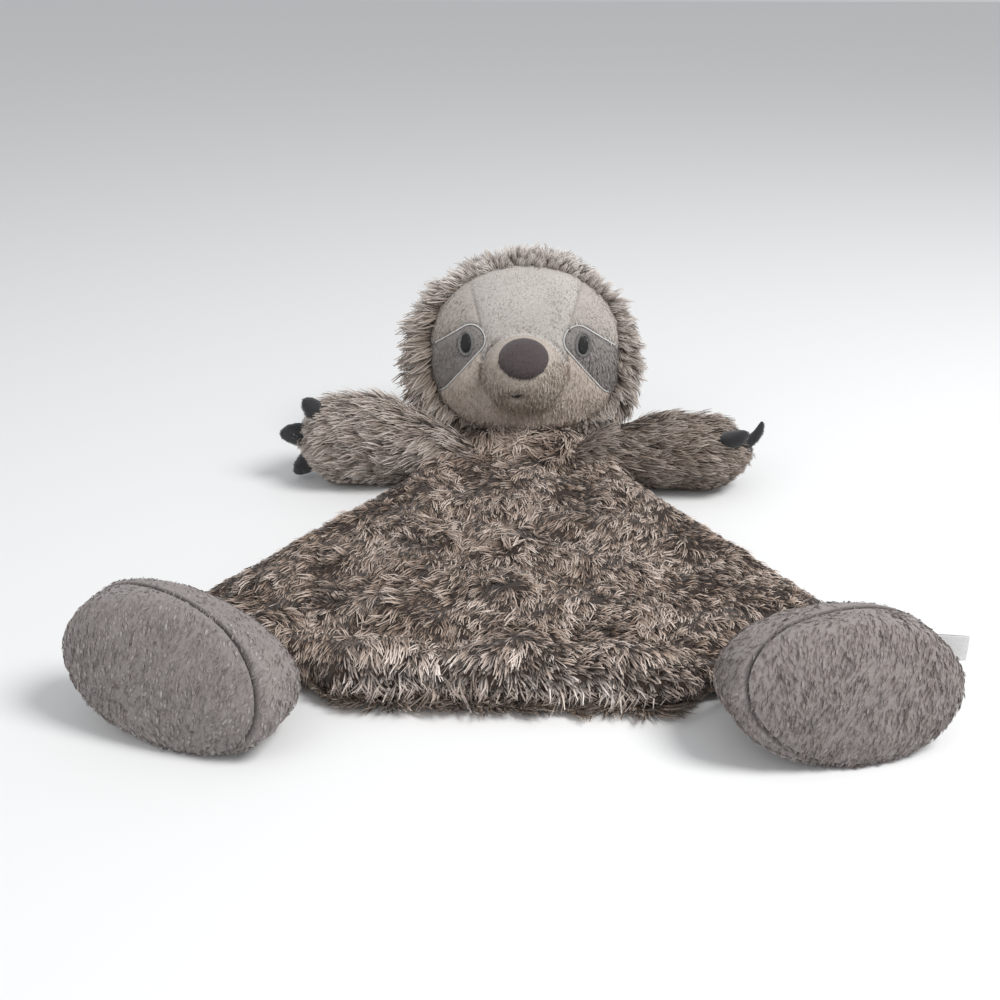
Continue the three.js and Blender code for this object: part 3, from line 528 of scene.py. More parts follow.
def new_finish(name, roughness, sheen):
    """A material with a bare Principled shader, its nodes and that shader."""
    material = bpy.data.materials.new(name)
    material.use_nodes = True
    material.node_tree.nodes.clear()
    nodes = Nodes(material.node_tree)
    shader = nodes.make("ShaderNodeBsdfPrincipled", {}, {
        "Roughness": roughness, "Sheen Weight": sheen, "Sheen Roughness": SHEEN_ROUGHNESS,
        "Specular IOR Level": SPECULAR})
    nodes.make("ShaderNodeOutputMaterial", {}, {"Surface": shader})
    return material, nodes, shader.socket.node


def shade(tint, factor):
    return tuple(min(1.0, part * factor) for part in tint)


def pile_finish(name, stops, spread, roughness=0.8, sheen=0.25):
    """Pile or thread that reads its tone across and its height along its own chart."""
    material, nodes, shader = new_finish(name, roughness, sheen)
    chart = nodes.make("ShaderNodeSeparateXYZ", {}, {0: nodes.make("ShaderNodeUVMap", {"uv_map": UV_NAME})})
    height = nodes.make("ShaderNodeValToRGB", {"stops": stops}, {"Fac": chart.also("Y")}, "Color")
    tint = nodes.make("ShaderNodeHueSaturation", {}, {
        "Color": height, "Saturation": 1.25 - 0.5 * chart,
        "Value": (1 - spread / 2) + chart * spread}, "Color")
    nodes.tree.links.new(tint.socket, shader.inputs["Base Color"])
    return material


def three_stops(root, middle, tip):
    return ((0.0, root), (0.5, middle), (1.0, tip))


def plush_finish(name, tint, root, spread):
    """Short plush, darker at its root, partly as painted shade deep in the plush."""
    stops = three_stops(shade(tint, root), shade(tint, PLUSH_MIDDLE), shade(tint, PLUSH_TIP))
    return pile_finish(name, stops, spread)


def thread_finish(name, tint, spread, roughness):
    """Thread, darker as painted shade where it goes into the cloth at either end."""
    end = shade(tint, THREAD_END_SHADE)
    return pile_finish(name, three_stops(end, tint, end), spread, roughness, 0)


def cloth_finish(name, tint, grain=900.0, depth=0.35, sheen=0.3):
    """Woven backing or short plush: soft mottling, a fine nap, and painted shade where its seam attribute is
    1.
    """
    material, nodes, shader = new_finish(name, CLOTH_ROUGHNESS, sheen)
    place = nodes.make("ShaderNodeTexCoord", {}, {}, "Object")
    nap = nodes.make("ShaderNodeTexNoise", {}, {"Vector": place, "Scale": grain, "Detail": 2.0})
    cloud = nodes.make("ShaderNodeTexNoise", {}, {"Vector": place, "Scale": CLOUDS, "Detail": 2.0})
    seam = nodes.make("ShaderNodeAttribute", {"attribute_name": "seam"}, {}, "Fac")
    value = (nap - 0.5) * NAP_SHADE + (cloud - 0.5) * CLOUD_SHADE + CLOTH_SHADE
    # Painted shade in the grooves of the seams
    value = value * (1 - seam * SEAM_GROOVE_SHADE)
    tinted = nodes.make("ShaderNodeHueSaturation", {}, {"Color": (*tint, 1), "Value": value}, "Color")
    bump = nodes.make("ShaderNodeBump", {}, {"Strength": depth, "Distance": CLOTH_BUMP, "Height": nap})
    nodes.tree.links.new(tinted.socket, shader.inputs["Base Color"])
    nodes.tree.links.new(bump.socket, shader.inputs["Normal"])
    return material


# Meshes


def new_object(name, data):
    made = bpy.data.objects.new(name, data)
    bpy.context.scene.collection.objects.link(made)
    return made


def mesh_object(name, points, faces, edges=()):
    mesh = bpy.data.meshes.new(name)
    mesh.from_pydata([tuple(p) for p in points], edges, faces)
    mesh.update()
    return new_object(name, mesh)


def remove(thing):
    mesh = thing.data
    bpy.data.objects.remove(thing)
    bpy.data.meshes.remove(mesh)


def set_attribute(thing, name, kind, values):
    made = thing.data.attributes.new(name, kind, "POINT")
    key = "vector" if kind == "FLOAT_VECTOR" else "value"
    made.data.foreach_set(key, np.asarray(values, np.float32).ravel())


def ring_faces(rows, count):
    """Quads between closed rows of points that follow each other."""
    faces = []
    for row in range(rows - 1):
        for i in range(count):
            near, far = row * count, (row + 1) * count
            j = (i + 1) % count
            faces.append((near + i, near + j, far + j, far + i))
    return faces


def closed_rings(name, rings):
    """Rings joined in order, with a middle point at either end."""
    count = len(rings[0])
    points = np.concatenate(rings + [rings[0].mean(0)[None], rings[-1].mean(0)[None]])
    first, last = len(points) - 2, len(points) - 1
    faces = ring_faces(len(rings), count)
    end = (len(rings) - 1) * count
    for i in range(count):
        j = (i + 1) % count
        faces.append((first, j, i))
        faces.append((last, end + i, end + j))
    return mesh_object(name, points, faces)


def open_rings(name, rings):
    return mesh_object(name, np.concatenate(rings), ring_faces(len(rings), len(rings[0])))


def read_vectors(thing, key):
    found = np.zeros(len(thing.data.vertices) * 3)
    thing.data.vertices.foreach_get(key, found)
    return found.reshape(-1, 3)


def vertices(thing):
    return read_vectors(thing, "co")


def normals(thing):
    return read_vectors(thing, "normal")


def full_turn(count):
    """Angles spaced evenly round a circle."""
    return np.linspace(0, 2 * math.pi, count, endpoint=False)


def unit(vectors):
    return vectors / np.maximum(np.linalg.norm(vectors, axis=-1, keepdims=True), 1e-9)


def smoothstep(value, low, high):
    share = np.clip((value - low) / (high - low), 0, 1)
    return share * share * (3 - 2 * share)


def hump(distance, width):
    return np.exp(-((distance / width) ** 2))


def read_noise(kind, points, scale, shift):
    offset = Vector((shift, 1.7 * shift, 0.6 * shift))
    return np.array([kind(Vector(p) * scale + offset) for p in points])


def wander(points, *kinds):
    """Smooth noise vectors at these points. Each kind has its scale to the metre, shift and strength."""
    return sum(read_noise(noise.noise_vector, points, scale, shift) * strength
               for scale, shift, strength in kinds)


def lump(points, scale, shift):
    """Smooth noise values at these points."""
    return read_noise(noise.noise, points, scale, shift)


def apply_modifiers(thing):
    shown = thing.evaluated_get(bpy.context.evaluated_depsgraph_get())
    mesh = bpy.data.meshes.new_from_object(shown)
    old = thing.data
    thing.modifiers.clear()
    thing.data = mesh
    bpy.data.meshes.remove(old)
    mesh.name = thing.name


def thicken(thing, thickness, offset=-1):
    """Makes a wall of a bare surface, inwards unless the offset says otherwise."""
    wall = thing.modifiers.new("wall", "SOLIDIFY")
    wall.thickness = thickness
    wall.offset = offset
    apply_modifiers(thing)


def dress(piece, body, finish=None, nodes=()):
    """Gives a finished piece its material and body, and hides the solids that it stands for."""
    if finish:
        piece.data.materials.clear()
        piece.data.materials.append(finish)
    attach(piece, body)
    if nodes:
        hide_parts(*nodes)
    return piece


# Pile

TUFTS = 420.0  # of the long pile, to the metre
GATHER = 0.62  # how far the locks of a tuft lean together, 1 is to a point
# Kind of lock of each long pile and the painted shade between its tufts
LONG_PILES = {"curly": ("curly", 0.8), "combed": ("combed", 0.6), "ruff": ("combed", 0.4)}
# Short plush: its tufts to the metre, the painted shade between them, the shades of its root and of its
# cloth, both partly painted shade deep in the plush, and how far its tones spread
NAP = {"tufts": 560.0, "groove": 0.9, "root": 0.78, "backing": 0.82, "spread": 0.4}
# The feet's dark root and cloth are painted shade in the crevices of their plush
FOOT_NAP = {"tufts": 450.0, "groove": 2.0, "root": 0.45, "backing": 0.7, "spread": 0.42}
NAP_STRETCH = (1.0, 1.0, 0.3)  # its tufts are streaks along the height
NAP_LOFT = 0.2  # how far stray short pile may stand up
NAP_DENSITY = {"face": 1.3e6, "nose": 0.9e6, "claw": 1.2e6, "foot": 0.68e6}  # locks to the square metre
NAP_KINDS = ("pale", "muzzle", "brow", "cheek", "patch", "nose", "claw", "foot")
ARM_DENSITY = 0.85  # of the arms' pile against the other long pile
NOSE_PILE = 0.7  # length of the nose's plush against the face's
LOCKS = {
    "curly": dict(count=8, blades=5, rows=3, spread=0.18, taper=0.5, curl=0.85, wave=0.22, width=0.04),
    "combed": dict(count=6, blades=6, rows=3, spread=0.13, taper=0.4, curl=0.3, wave=0.12, width=0.024),
    "short": dict(count=4, blades=3, rows=2, spread=0.22, taper=0.5, curl=0.15, wave=0.1, width=0.055),
}
BLADE_OUT = (0.05, 1)  # a blade's way out of the lock's middle, squared
BLADE_TURN = 0.9  # how far a blade's face may turn away from its bend
BLADE_REACH = (0.72, 1.0)
BLADE_BEND = (0.5, 1.5)
BEND_DROP = 0.3  # how much lower a bent blade ends
WAVE_SPAN = 4  # angle that a blade's wave covers
# Lean of each growth of pile, 0 upright and 1 flat, its disorder and its first seed
GROWTH = {
    "body": (0.74, 0.5, 11), "hood": (0.6, 0.38, 51), "face": (0.85, 0.25, 90), "nose": (0.85, 0.25, 120),
    "arm": (0.7, 0.3, 150), "claw": (0.85, 0.25, 170), "left_foot": (0.88, 0.25, 200),
    "right_foot": (0.82, 0.25, 200),
}
# How full the stuffed pieces are, 1 is hard
FILL = {"head": 0.8, "nose": 0.7, "arm": 0.7, "claw": 0.9, "foot": 0.85}


def lock_mesh(name, seed, blades, rows, spread, taper, curl, wave, width):
    """A lock of flat blunt blades, one unit long, that bends towards x and waves across it."""
    draw = np.random.default_rng(seed)
    points, faces, heights = [], [], []
    for _ in range(blades):
        turn = draw.uniform(0, 2 * math.pi)
        away = np.array([math.cos(turn), math.sin(turn), 0])
        out = spread * math.sqrt(draw.uniform(*BLADE_OUT))
        face_turn = draw.uniform(-BLADE_TURN, BLADE_TURN) + math.pi / 2
        across = np.array([math.cos(face_turn), math.sin(face_turn), 0])
        reach = draw.uniform(*BLADE_REACH)
        bend = curl * draw.uniform(*BLADE_BEND)
        sway, phase = wave * draw.uniform(-1, 1), draw.uniform(0, math.pi)
        first = len(points)
        for row in range(rows + 1):
            share = row / rows
            middle = away * out * (1 - (1 - taper) * share)
            rise = reach * share * (1 - BEND_DROP * bend * share)
            drift = sway * (math.sin(WAVE_SPAN * share + phase) - math.sin(phase))
            middle = middle + np.array([bend * share**2, drift, rise])
            half = width * (0.8 + 0.4 * share) * (1 - 0.65 * share**4)
            heights += [share, share]
            points += [middle - across * half, middle + across * half]
        for row in range(rows):
            near = first + 2 * row
            faces.append((near, near + 1, near + 3, near + 2))
    made = mesh_object(name, points, faces)
    set_attribute(made, "along", "FLOAT", heights)
    bpy.context.scene.collection.objects.unlink(made)
    return made


def lock_kinds(name, count, **form):
    kinds = bpy.data.collections.new(name)
    for seed in range(count):
        kinds.objects.link(lock_mesh(f"{name}_{seed}", seed + 1, **form))
    return kinds


def weigh(ways, places):
    """Each way of a pile as the sum of what the places on its skin add to it."""
    return {way: sum(weight * places[place] for place, weight in weights.items())
            for way, weights in ways.items()}


def lay_down(comb, facing, share):
    """Takes away this share of how far the comb leads off the skin."""
    return comb - facing * (comb * facing).sum(1, keepdims=True) * share


def comb_skin(skin, comb, lock=1.0, tone=0.5, lay=1.0, stray=1.0):
    """Gives a skin the way of its pile, and its length, tone, lean and disorder against the tree's own."""
    count = len(skin.data.vertices)
    set_attribute(skin, "comb", "FLOAT_VECTOR", unit(comb))
    for name, value in (("lock", lock), ("tone", tone), ("lay", lay), ("stray", stray)):
        set_attribute(skin, name, "FLOAT", np.broadcast_to(value, count))


class Workshop:
    """The trees, locks and finishes that several pieces share."""

    def __init__(self, scene):
        tint = scene.lovey_colours
        self.length = scene.lovey_pile
        self.pile = pile_tree()
        self.stitches = stitch_tree()
        self.locks = {kind: lock_kinds(f"{kind}_lock", **form) for kind, form in LOCKS.items()}
        # The dark band low on the curly locks is painted shade between them
        curly = ((0.0, tint.pile_root), (0.25, shade(tint.pile_middle, 0.4)), (0.5, tint.pile_middle),
                 (1.0, tint.pile_tip))
        combed = three_stops(tint.arm_root, tint.arm_middle, tint.arm_tip)
        ruff = three_stops(tint.ruff_root, tint.ruff_middle, tint.ruff_tip)
        self.finishes = {
            "curly": pile_finish("curly pile", curly, 0.7),
            "combed": pile_finish("combed pile", combed, 0.6),
            "ruff": pile_finish("hood pile", ruff, 0.45),
            # Backings as dark as the roots of their pile, painted shade where they show between the locks
            "fur_backing": cloth_finish("pile backing", shade(tint.pile_root, 1.3), 700),
            "arm_backing": cloth_finish("arm backing", tint.arm_root, 700),
            "hood_backing": cloth_finish("hood backing", tint.ruff_root, 700),
            "filling": cloth_finish("filling", tint.filling, 260, 0.8),
            "satin": thread_finish("satin thread", tint.satin, 0.25, 0.35),
            "ring": thread_finish("ring thread", tint.ring, 0.35, 0.4),
            "dark": thread_finish("dark thread", tint.dark, 0.35, 0.4),
            "label": cloth_finish("label", tint.label, 2200, 0.2, 0.1),
        }
        for kind in NAP_KINDS:
            own = getattr(tint, kind)
            nap = FOOT_NAP if kind == "foot" else NAP
            self.finishes[kind] = cloth_finish(kind + " plush backing", shade(own, nap["backing"]))
            self.finishes[kind + "_pile"] = plush_finish(kind + " plush", own, nap["root"], nap["spread"])

    def grow(self, skin, name, finish, growth, density, length, step=0):
        """Pile on a combed skin, as a mesh of its own. The step moves its seed on."""
        lean, scatter, seed = GROWTH[growth]
        nap = FOOT_NAP if finish == "foot_pile" else NAP
        kind, groove = LONG_PILES.get(finish, ("short", nap["groove"]))
        long = finish in LONG_PILES
        return run_tree(self.pile, skin, name, {
            "Locks": self.locks[kind], "Finish": self.finishes[finish], "Density": density, "Length": length,
            "Lean": lean, "Scatter": scatter, "Tufts": TUFTS if long else nap["tufts"],
            "Gather": GATHER / length, "Groove": groove, "Stretch": (1.0, 1.0, 1.0) if long else NAP_STRETCH,
            "Loft": 1.0 if long else NAP_LOFT, "Seed": seed + step})

    def coat(self, skin, comb, ways, *growth):
        """Combs a skin, grows its pile and clears the skin away."""
        comb_skin(skin, comb, **ways)
        pile = self.grow(skin, *growth)
        remove(skin)
        return pile

    def fill(self, name, rings, body, node, fill):
        """A lump of loose fibre."""
        dress(closed_rings(name, rings), body, self.finishes["filling"], (node,))


workshops = []


def workshop(context):
    if not workshops:
        workshops.append(Workshop(context.scene))
    return workshops[0]


# Blanket


def blanket_outline():
    """The outer edge of the blanket, from the front panel's lowest ring of points, counter-clockwise."""
    points = vertices(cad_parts["blanket_front_panel"])
    low = points[points[:, 2] < points[:, 2].min() + 0.1 * MM][:, :2]
    low = np.unique(np.round(low, 6), axis=0)
    low = low[np.linalg.norm(low, axis=1) > 10 * MM]
    low = low[np.argsort(np.arctan2(low[:, 1], low[:, 0]))]
    loop = np.vstack([low, low[:1]])
    walked = np.concatenate([[0], np.cumsum(np.linalg.norm(np.diff(loop, axis=0), axis=1))])
    stops = np.linspace(0, walked[-1], OUTLINE_POINTS, endpoint=False)
    return np.column_stack([np.interp(stops, walked, loop[:, k]) for k in (0, 1)])


def outward(outline):
    along = np.roll(outline, -1, 0) - np.roll(outline, 1, 0)
    return unit(np.column_stack([along[:, 1], -along[:, 0]]))


def edge_distance(points, outline):
    gaps = np.linalg.norm(points[:, None, :] - outline[None], axis=2)
    return gaps.min(1), gaps.argmin(1)


def fold_lift(flat):
    """Soft folds that cross each other, and the small unevenness between them."""
    x, y = flat[:, 0], flat[:, 1] + HALF_LENGTH
    lift = np.full(len(flat), FOLD_MEAN)
    for kind in range(FOLD_KINDS):
        along = x * math.cos(kind * FOLD_TURN) + y * math.sin(kind * FOLD_TURN)
        length = FOLD_LENGTH * FOLD_SHORTER**kind
        lift += FOLD_RISE * FOLD_SHORTER**kind * np.cos(2 * math.pi * along / length + kind)
    ground = np.column_stack([flat, np.zeros(len(flat))])
    return lift + RUMPLE * lump(ground, 60, 8.4)


def on_hem(flat):
    """1 along the hem and 0 towards the feet."""
    return 1 - smoothstep(np.abs(flat[:, 0]), HEM_HALF - HEM_FADE, HEM_HALF + HEM_FADE)


def under_chin(flat):
    """1 at the neck seam and 0 away from it."""
    aside = 1 - smoothstep(np.abs(flat[:, 0]), NECK_HALF / 2, NECK_HALF + CHIN_FADE)
    return aside * hump(HALF_LENGTH - flat[:, 1], CHIN_GATHER_DEPTH)


def by_shoulder(flat):
    """1 where an arm is sewn on and 0 away from it."""
    gap = np.hypot(np.abs(flat[:, 0]) - SHOULDER[0], flat[:, 1] - SHOULDER[1])
    return hump(gap, SHOULDER_REACH)


def panel_lift(flat):
    """Height of the front panel's folds, rolled hem and gathers above its plain thickness."""
    behind = flat[:, 1] + HALF_LENGTH
    roll = HEM_ROLL * hump(behind - HEM_ROLL_AT, HEM_ROLL_WIDTH)
    hollow = HEM_HOLLOW * hump(behind - HEM_HOLLOW_AT, HEM_ROLL_WIDTH)
    gathers = CHIN_GATHER * under_chin(flat) + SHOULDER_RISE * by_shoulder(flat)
    return fold_lift(flat) + on_hem(flat) * (roll - hollow) + gathers


def panel_rows(side, outline):
    """Rows of points from a panel's seam edge to its middle, on the side that carries the pile."""
    edge = outline - outward(outline) * PILE_INSET
    rows = []
    for row in range(PANEL_ROWS):
        share = (row / PANEL_ROWS) ** 1.7
        flat = edge * (1 - share)
        inside = np.clip(edge_distance(flat, edge)[0] / PANEL_EDGE, 0, 1)
        rise = PANEL_RISE * np.sqrt(np.maximum(1 - (1 - inside) ** 2, 0))
        if side > 0:
            rise = rise + smoothstep(inside, 0.3, 1) * panel_lift(flat)
        height = SEAM_HEIGHT + side * (SEAM_GAP + rise)
        rows.append(np.column_stack([flat, np.maximum(height, GROUND)]))
    return rows


def panel_cloth(name, rows, side):
    """A panel closed along the plane of the seam."""
    plane = np.full(OUTLINE_POINTS, SEAM_HEIGHT + side * SEAM_GAP / 2)
    inner = [np.column_stack([rows[0][:, :2] * share, plane]) for share in (0.25, 0.6, 0.97)]
    return closed_rings(name, inner + rows if side > 0 else rows[::-1] + inner[::-1])


# What the places on the front panel, 1, and the back panel, -1, add to the ways of their pile
PANEL_PILE = {
    1: {
        "lock": {"all": 1, "lumps": 0.2, "hem": 0.75, "lip": -0.6, "chin": 0.35, "shoulder": 0.4,
                 "flanks": -0.25},
        # Tone in both panels: the edges, the front of the hem and its fringe lighter as painted light, the
        # pile under the chin darker as painted shade
        "tone": {"all": 0.5, "clouds": 0.3, "over": 0.3, "front": 0.35, "chin": -0.1, "fringe_light": 0.3},
        "lay": {"all": 1, "hem": 0.25, "chin": -0.45, "shoulder": -0.2},
        "stray": {"all": 1, "over": -0.45, "hem": -0.35},
    },
    -1: {
        "lock": {"all": 0.6, "over": 0.1, "under_hem": 1.0},
        # The back panel's pile is darker, partly its own tone and partly painted shade under the front
        # panel's hem
        "tone": {"all": -0.4, "clouds": 0.3, "over": 0.3, "front": 0.05, "chin": -0.1, "fringe_light": 0.3},
        "lay": {"all": 1.1, "under": -0.65},
        "stray": {"all": 1, "over": -0.45, "hem": -0.35},
    },
}
LEAD = np.array([-0.1, -0.5, 0.0])  # way of the body's pile
LEAD_ASIDE = 0.6  # and away from the middle line
LEAD_WIDTH = 100 * MM
EDGE_DROP = -0.6  # how far the pile leads down as it leads over the edge
FRONT_HANG = np.array([0.12, -0.15, -1.0])  # way of the pile down the front of the hem
BACK_HANG = np.array([0.06, -0.35, -1.0])  # and down the back panel's edge
BACK_TURN = np.array([0.0, -0.65, 0.85])  # added to it on the underside, where it runs forward
EDGE_SWIRL = 0.3  # strength of the swirls at the edge against the body's
SHOULDER_LEAD = 1.6  # how far the pile follows the arms where they are sewn on
SHOULDER_DROP = -0.1
SHOULDER_CALM = 0.6  # how far the swirls die down there
LIFT_LOST = 0.6  # share of the comb's way off the skin that is taken away


def body_comb(skin, outline, side):
    """The comb of a panel and the ways of its pile: swirls that lead over the edge and down the hem."""
    points, facing = vertices(skin), normals(skin)
    flat = points[:, :2]
    behind = flat[:, 1] + HALF_LENGTH
    level = np.zeros(len(flat))
    gap, nearest = edge_distance(flat, outline)
    chin, shoulder, hemward = under_chin(flat), by_shoulder(flat), on_hem(flat)
    over = (1 - smoothstep(gap, *EDGE_REACH)) * (1 - chin)
    hem = over * hemward * (flat[:, 1] < 0)
    under = smoothstep(gap, *UNDER_REACH)
    away = np.column_stack([outward(outline)[nearest], level + EDGE_DROP])
    hang = FRONT_HANG if side > 0 else BACK_HANG + BACK_TURN * under[:, None]
    away = away * (1 - hem)[:, None] + hang * hem[:, None]
    aside = np.clip(flat[:, 0] / LEAD_WIDTH, -1, 1) * LEAD_ASIDE
    lead = np.column_stack([aside, level, level]) + LEAD
    swirl = wander(points, (30, 2.0, 1.7), (75, 5.0, 0.9))
    swirl[:, 2] = 0
    comb = (lead + swirl) * (1 - over)[:, None] + (away + EDGE_SWIRL * swirl) * over[:, None]
    arms = np.column_stack([np.sign(flat[:, 0]), level + SHOULDER_DROP, level])
    comb += shoulder[:, None] * (SHOULDER_LEAD * arms - comb * SHOULDER_CALM)
    inwards = (comb * facing).sum(1, keepdims=True)
    comb -= facing * np.where(inwards < 0, inwards, LIFT_LOST * inwards)
    places = {
        "all": 1, "lumps": lump(points, 160, 6.0), "clouds": lump(points, 45, 1.0),
        "over": over, "hem": hem, "flanks": over * (1 - hem), "chin": chin, "shoulder": shoulder,
        "under": under, "under_hem": hem * under, "lip": hem * (1 - smoothstep(gap, *LIP_REACH)),
        "front": hemward * (1 - smoothstep(behind, *FRONT_LIGHT_REACH)),
        "fringe_light": hemward * (1 - smoothstep(behind, *FRINGE_LIGHT_REACH)),
    }
    return comb, weigh(PANEL_PILE[side], places)


class LOVEY_OT_blanket(bpy.types.Operator):
    """Build the two furry panels of the blanket"""

    bl_idname = "lovey.blanket"
    bl_label = "Blanket"

    def execute(self, context):
        shop = workshop(context)
        outline = blanket_outline()
        self.build_panel(shop, outline, "back", -1, "under_pile", parts=1, thinning=12)
        self.build_panel(shop, outline, "front", 1, "long_pile", parts=5, thinning=1)
        return {"FINISHED"}

    def build_panel(self, shop, outline, name, side, slot, parts, thinning):
        rows = panel_rows(side, outline)
        cloth = panel_cloth(f"blanket_{name}_cloth", rows, side)
        density = 1 / shop.length.spacing**2
        patches = [(rows, density / thinning / parts)] * parts
        if side < 0:
            patches.append((rows[:EDGE_ROWS], density))
        for part, (covered, thickness) in enumerate(patches):
            skin = open_rings("skin", covered if side > 0 else covered[::-1])
            pile = shop.coat(
                skin, *body_comb(skin, outline, side), f"blanket_{name}_pile_{part + 1}", "curly", "body",
                thickness, shop.length.body_length, 7 * part + side)
            dress(pile, "blanket")
        dress(cloth, "blanket", shop.finishes["fur_backing"], (f"blanket_{name}_panel",))


# Head


def head_world(points):
    """From the head's own frame to the part's."""
    x, y, z = points.T
    c, s = math.cos(HEAD_TILT), math.sin(HEAD_TILT)
    turned = np.column_stack([x, y * c + z * s, z * c - y * s])
    return turned + HEAD_SHIFT + NECK


def head_surface(directions, grow=0.0):
    x, y, z = directions.T
    shaped = np.column_stack([x * (1 - CHEEK_SWELL * z), y, z])
    return shaped * (HEAD_HALF + grow)


def clear_neck(points):
    """Moves points out of the room that the blanket's edge needs as the head nods."""
    moved = points - NECK
    reach = np.maximum(np.hypot(moved[:, 1], moved[:, 2]), 1e-6)
    angle = np.arctan2(moved[:, 2], -moved[:, 1])
    high = NECK_NOD + np.arcsin(np.clip(PANEL_TOP / reach, 0, 1))
    low = -NECK_BACK - np.arcsin(np.clip(SEAM_HEIGHT / reach, 0, 1))
    inside = (angle < high) & (angle > low)
    nearer = np.where(high - angle < angle - low, high, low)
    angle = np.where(inside, nearer, angle)
    reach = np.maximum(reach, NECK_CLEAR)
    moved[:, 1] = -reach * np.cos(angle)
    moved[:, 2] = reach * np.sin(angle)
    return moved + NECK


def rest_on_ground(points, height=GROUND):
    points[:, 2] = np.maximum(points[:, 2], height)
    return points


def face_edge(count, grow=0.0):
    """Points round the face: an oval above, with a wide jaw below."""
    turn = full_turn(count)
    aside, up = np.cos(turn), np.sin(turn)
    power = np.where(up < 0, 2 / JAW_SQUARENESS, 1)
    x = (FACE_HALF[0] + grow) * np.sign(aside) * np.abs(aside) ** power
    height = np.where(up < 0, JAW_DROP, FACE_HALF[1]) + grow
    return x, FACE_RISE + height * np.sign(up) * np.abs(up) ** power


def face_reach(x, z):
    """0 in the middle of the face and 1 on its edge."""
    up = (z - FACE_RISE) / np.where(z < FACE_RISE, JAW_DROP, FACE_HALF[1])
    power = np.where(up < 0, JAW_SQUARENESS, 2)
    return (np.abs(x / FACE_HALF[0]) ** power + np.abs(up) ** power) ** (1 / power)


def head_direction(x, z):
    up = z / HEAD_HALF[2]
    aside = x / (HEAD_HALF[0] * (1 - CHEEK_SWELL * up))
    front = -np.sqrt(np.maximum(1 - aside**2 - up**2, 1e-4))
    return np.column_stack([aside, front, up])


def hood_rings(grow, rows=38, count=150):
    """From the edge of the face over the head to the middle of its back."""
    start = head_direction(*face_edge(count, 0.5 * MM))
    back = np.array([0, 1, 0])
    span = np.arccos(np.clip(start @ back, -1, 1))[:, None]
    rings = []
    for row in range(rows + 1):
        share = min(row / rows, 0.995)
        ring = (np.sin((1 - share) * span) * start + np.sin(share * span) * back) / np.sin(span)
        roll = RUFF_ROLL * math.exp(-(((row - 2.5) / 2) ** 2)) if row else -1.5 * MM
        rings.append(rest_on_ground(clear_neck(head_world(head_surface(unit(ring), grow + roll))))[::-1])
    return rings


# What the places on the hood add to the ways of its pile
HOOD_PILE = {
    "lock": {"all": 1, "lumps": 0.2, "rim": -0.1, "top": -0.2, "left": 0.5},
    # Tone: lighter over the top of the hood as painted light and darker on its left side as painted shade, as
    # if lit from the upper right
    "tone": {"all": 0.32, "clouds": 0.25, "top": 0.8, "left": -0.35},
    "lay": {"all": 1, "rim": -0.45, "left": 0.2},
    "stray": {"all": 1, "left": -0.3},
}
HOOD_TOP = (0, 40 * MM)  # above the middle of the face
HOOD_LEFT = (20 * MM, 45 * MM)
RIM_ROWS = (1, 9)  # rows of the cloth next to the face, over which the ruff lies down
RUFF_AWAY = 0.8  # how far the pile leads away from the face
RUFF_BACK = 0.35  # share of that which leads backwards
RUFF_LEAD = np.array([-0.1, 0.25, 0])
RUFF_DROP = 0.7  # how far it hangs at the sides
RUFF_LIFT_LOST = 0.7
CHIN_CROP = 0.75  # how much shorter the pile is under the chin
CROP_BELOW = (22 * MM, 36 * MM)
CROP_ASIDE = (28 * MM, 44 * MM)
CROP_BEHIND = 5 * MM
WAD_INSET = 3 * MM  # between the head's filling and its plush
WAD_LOWEST = 4 * MM


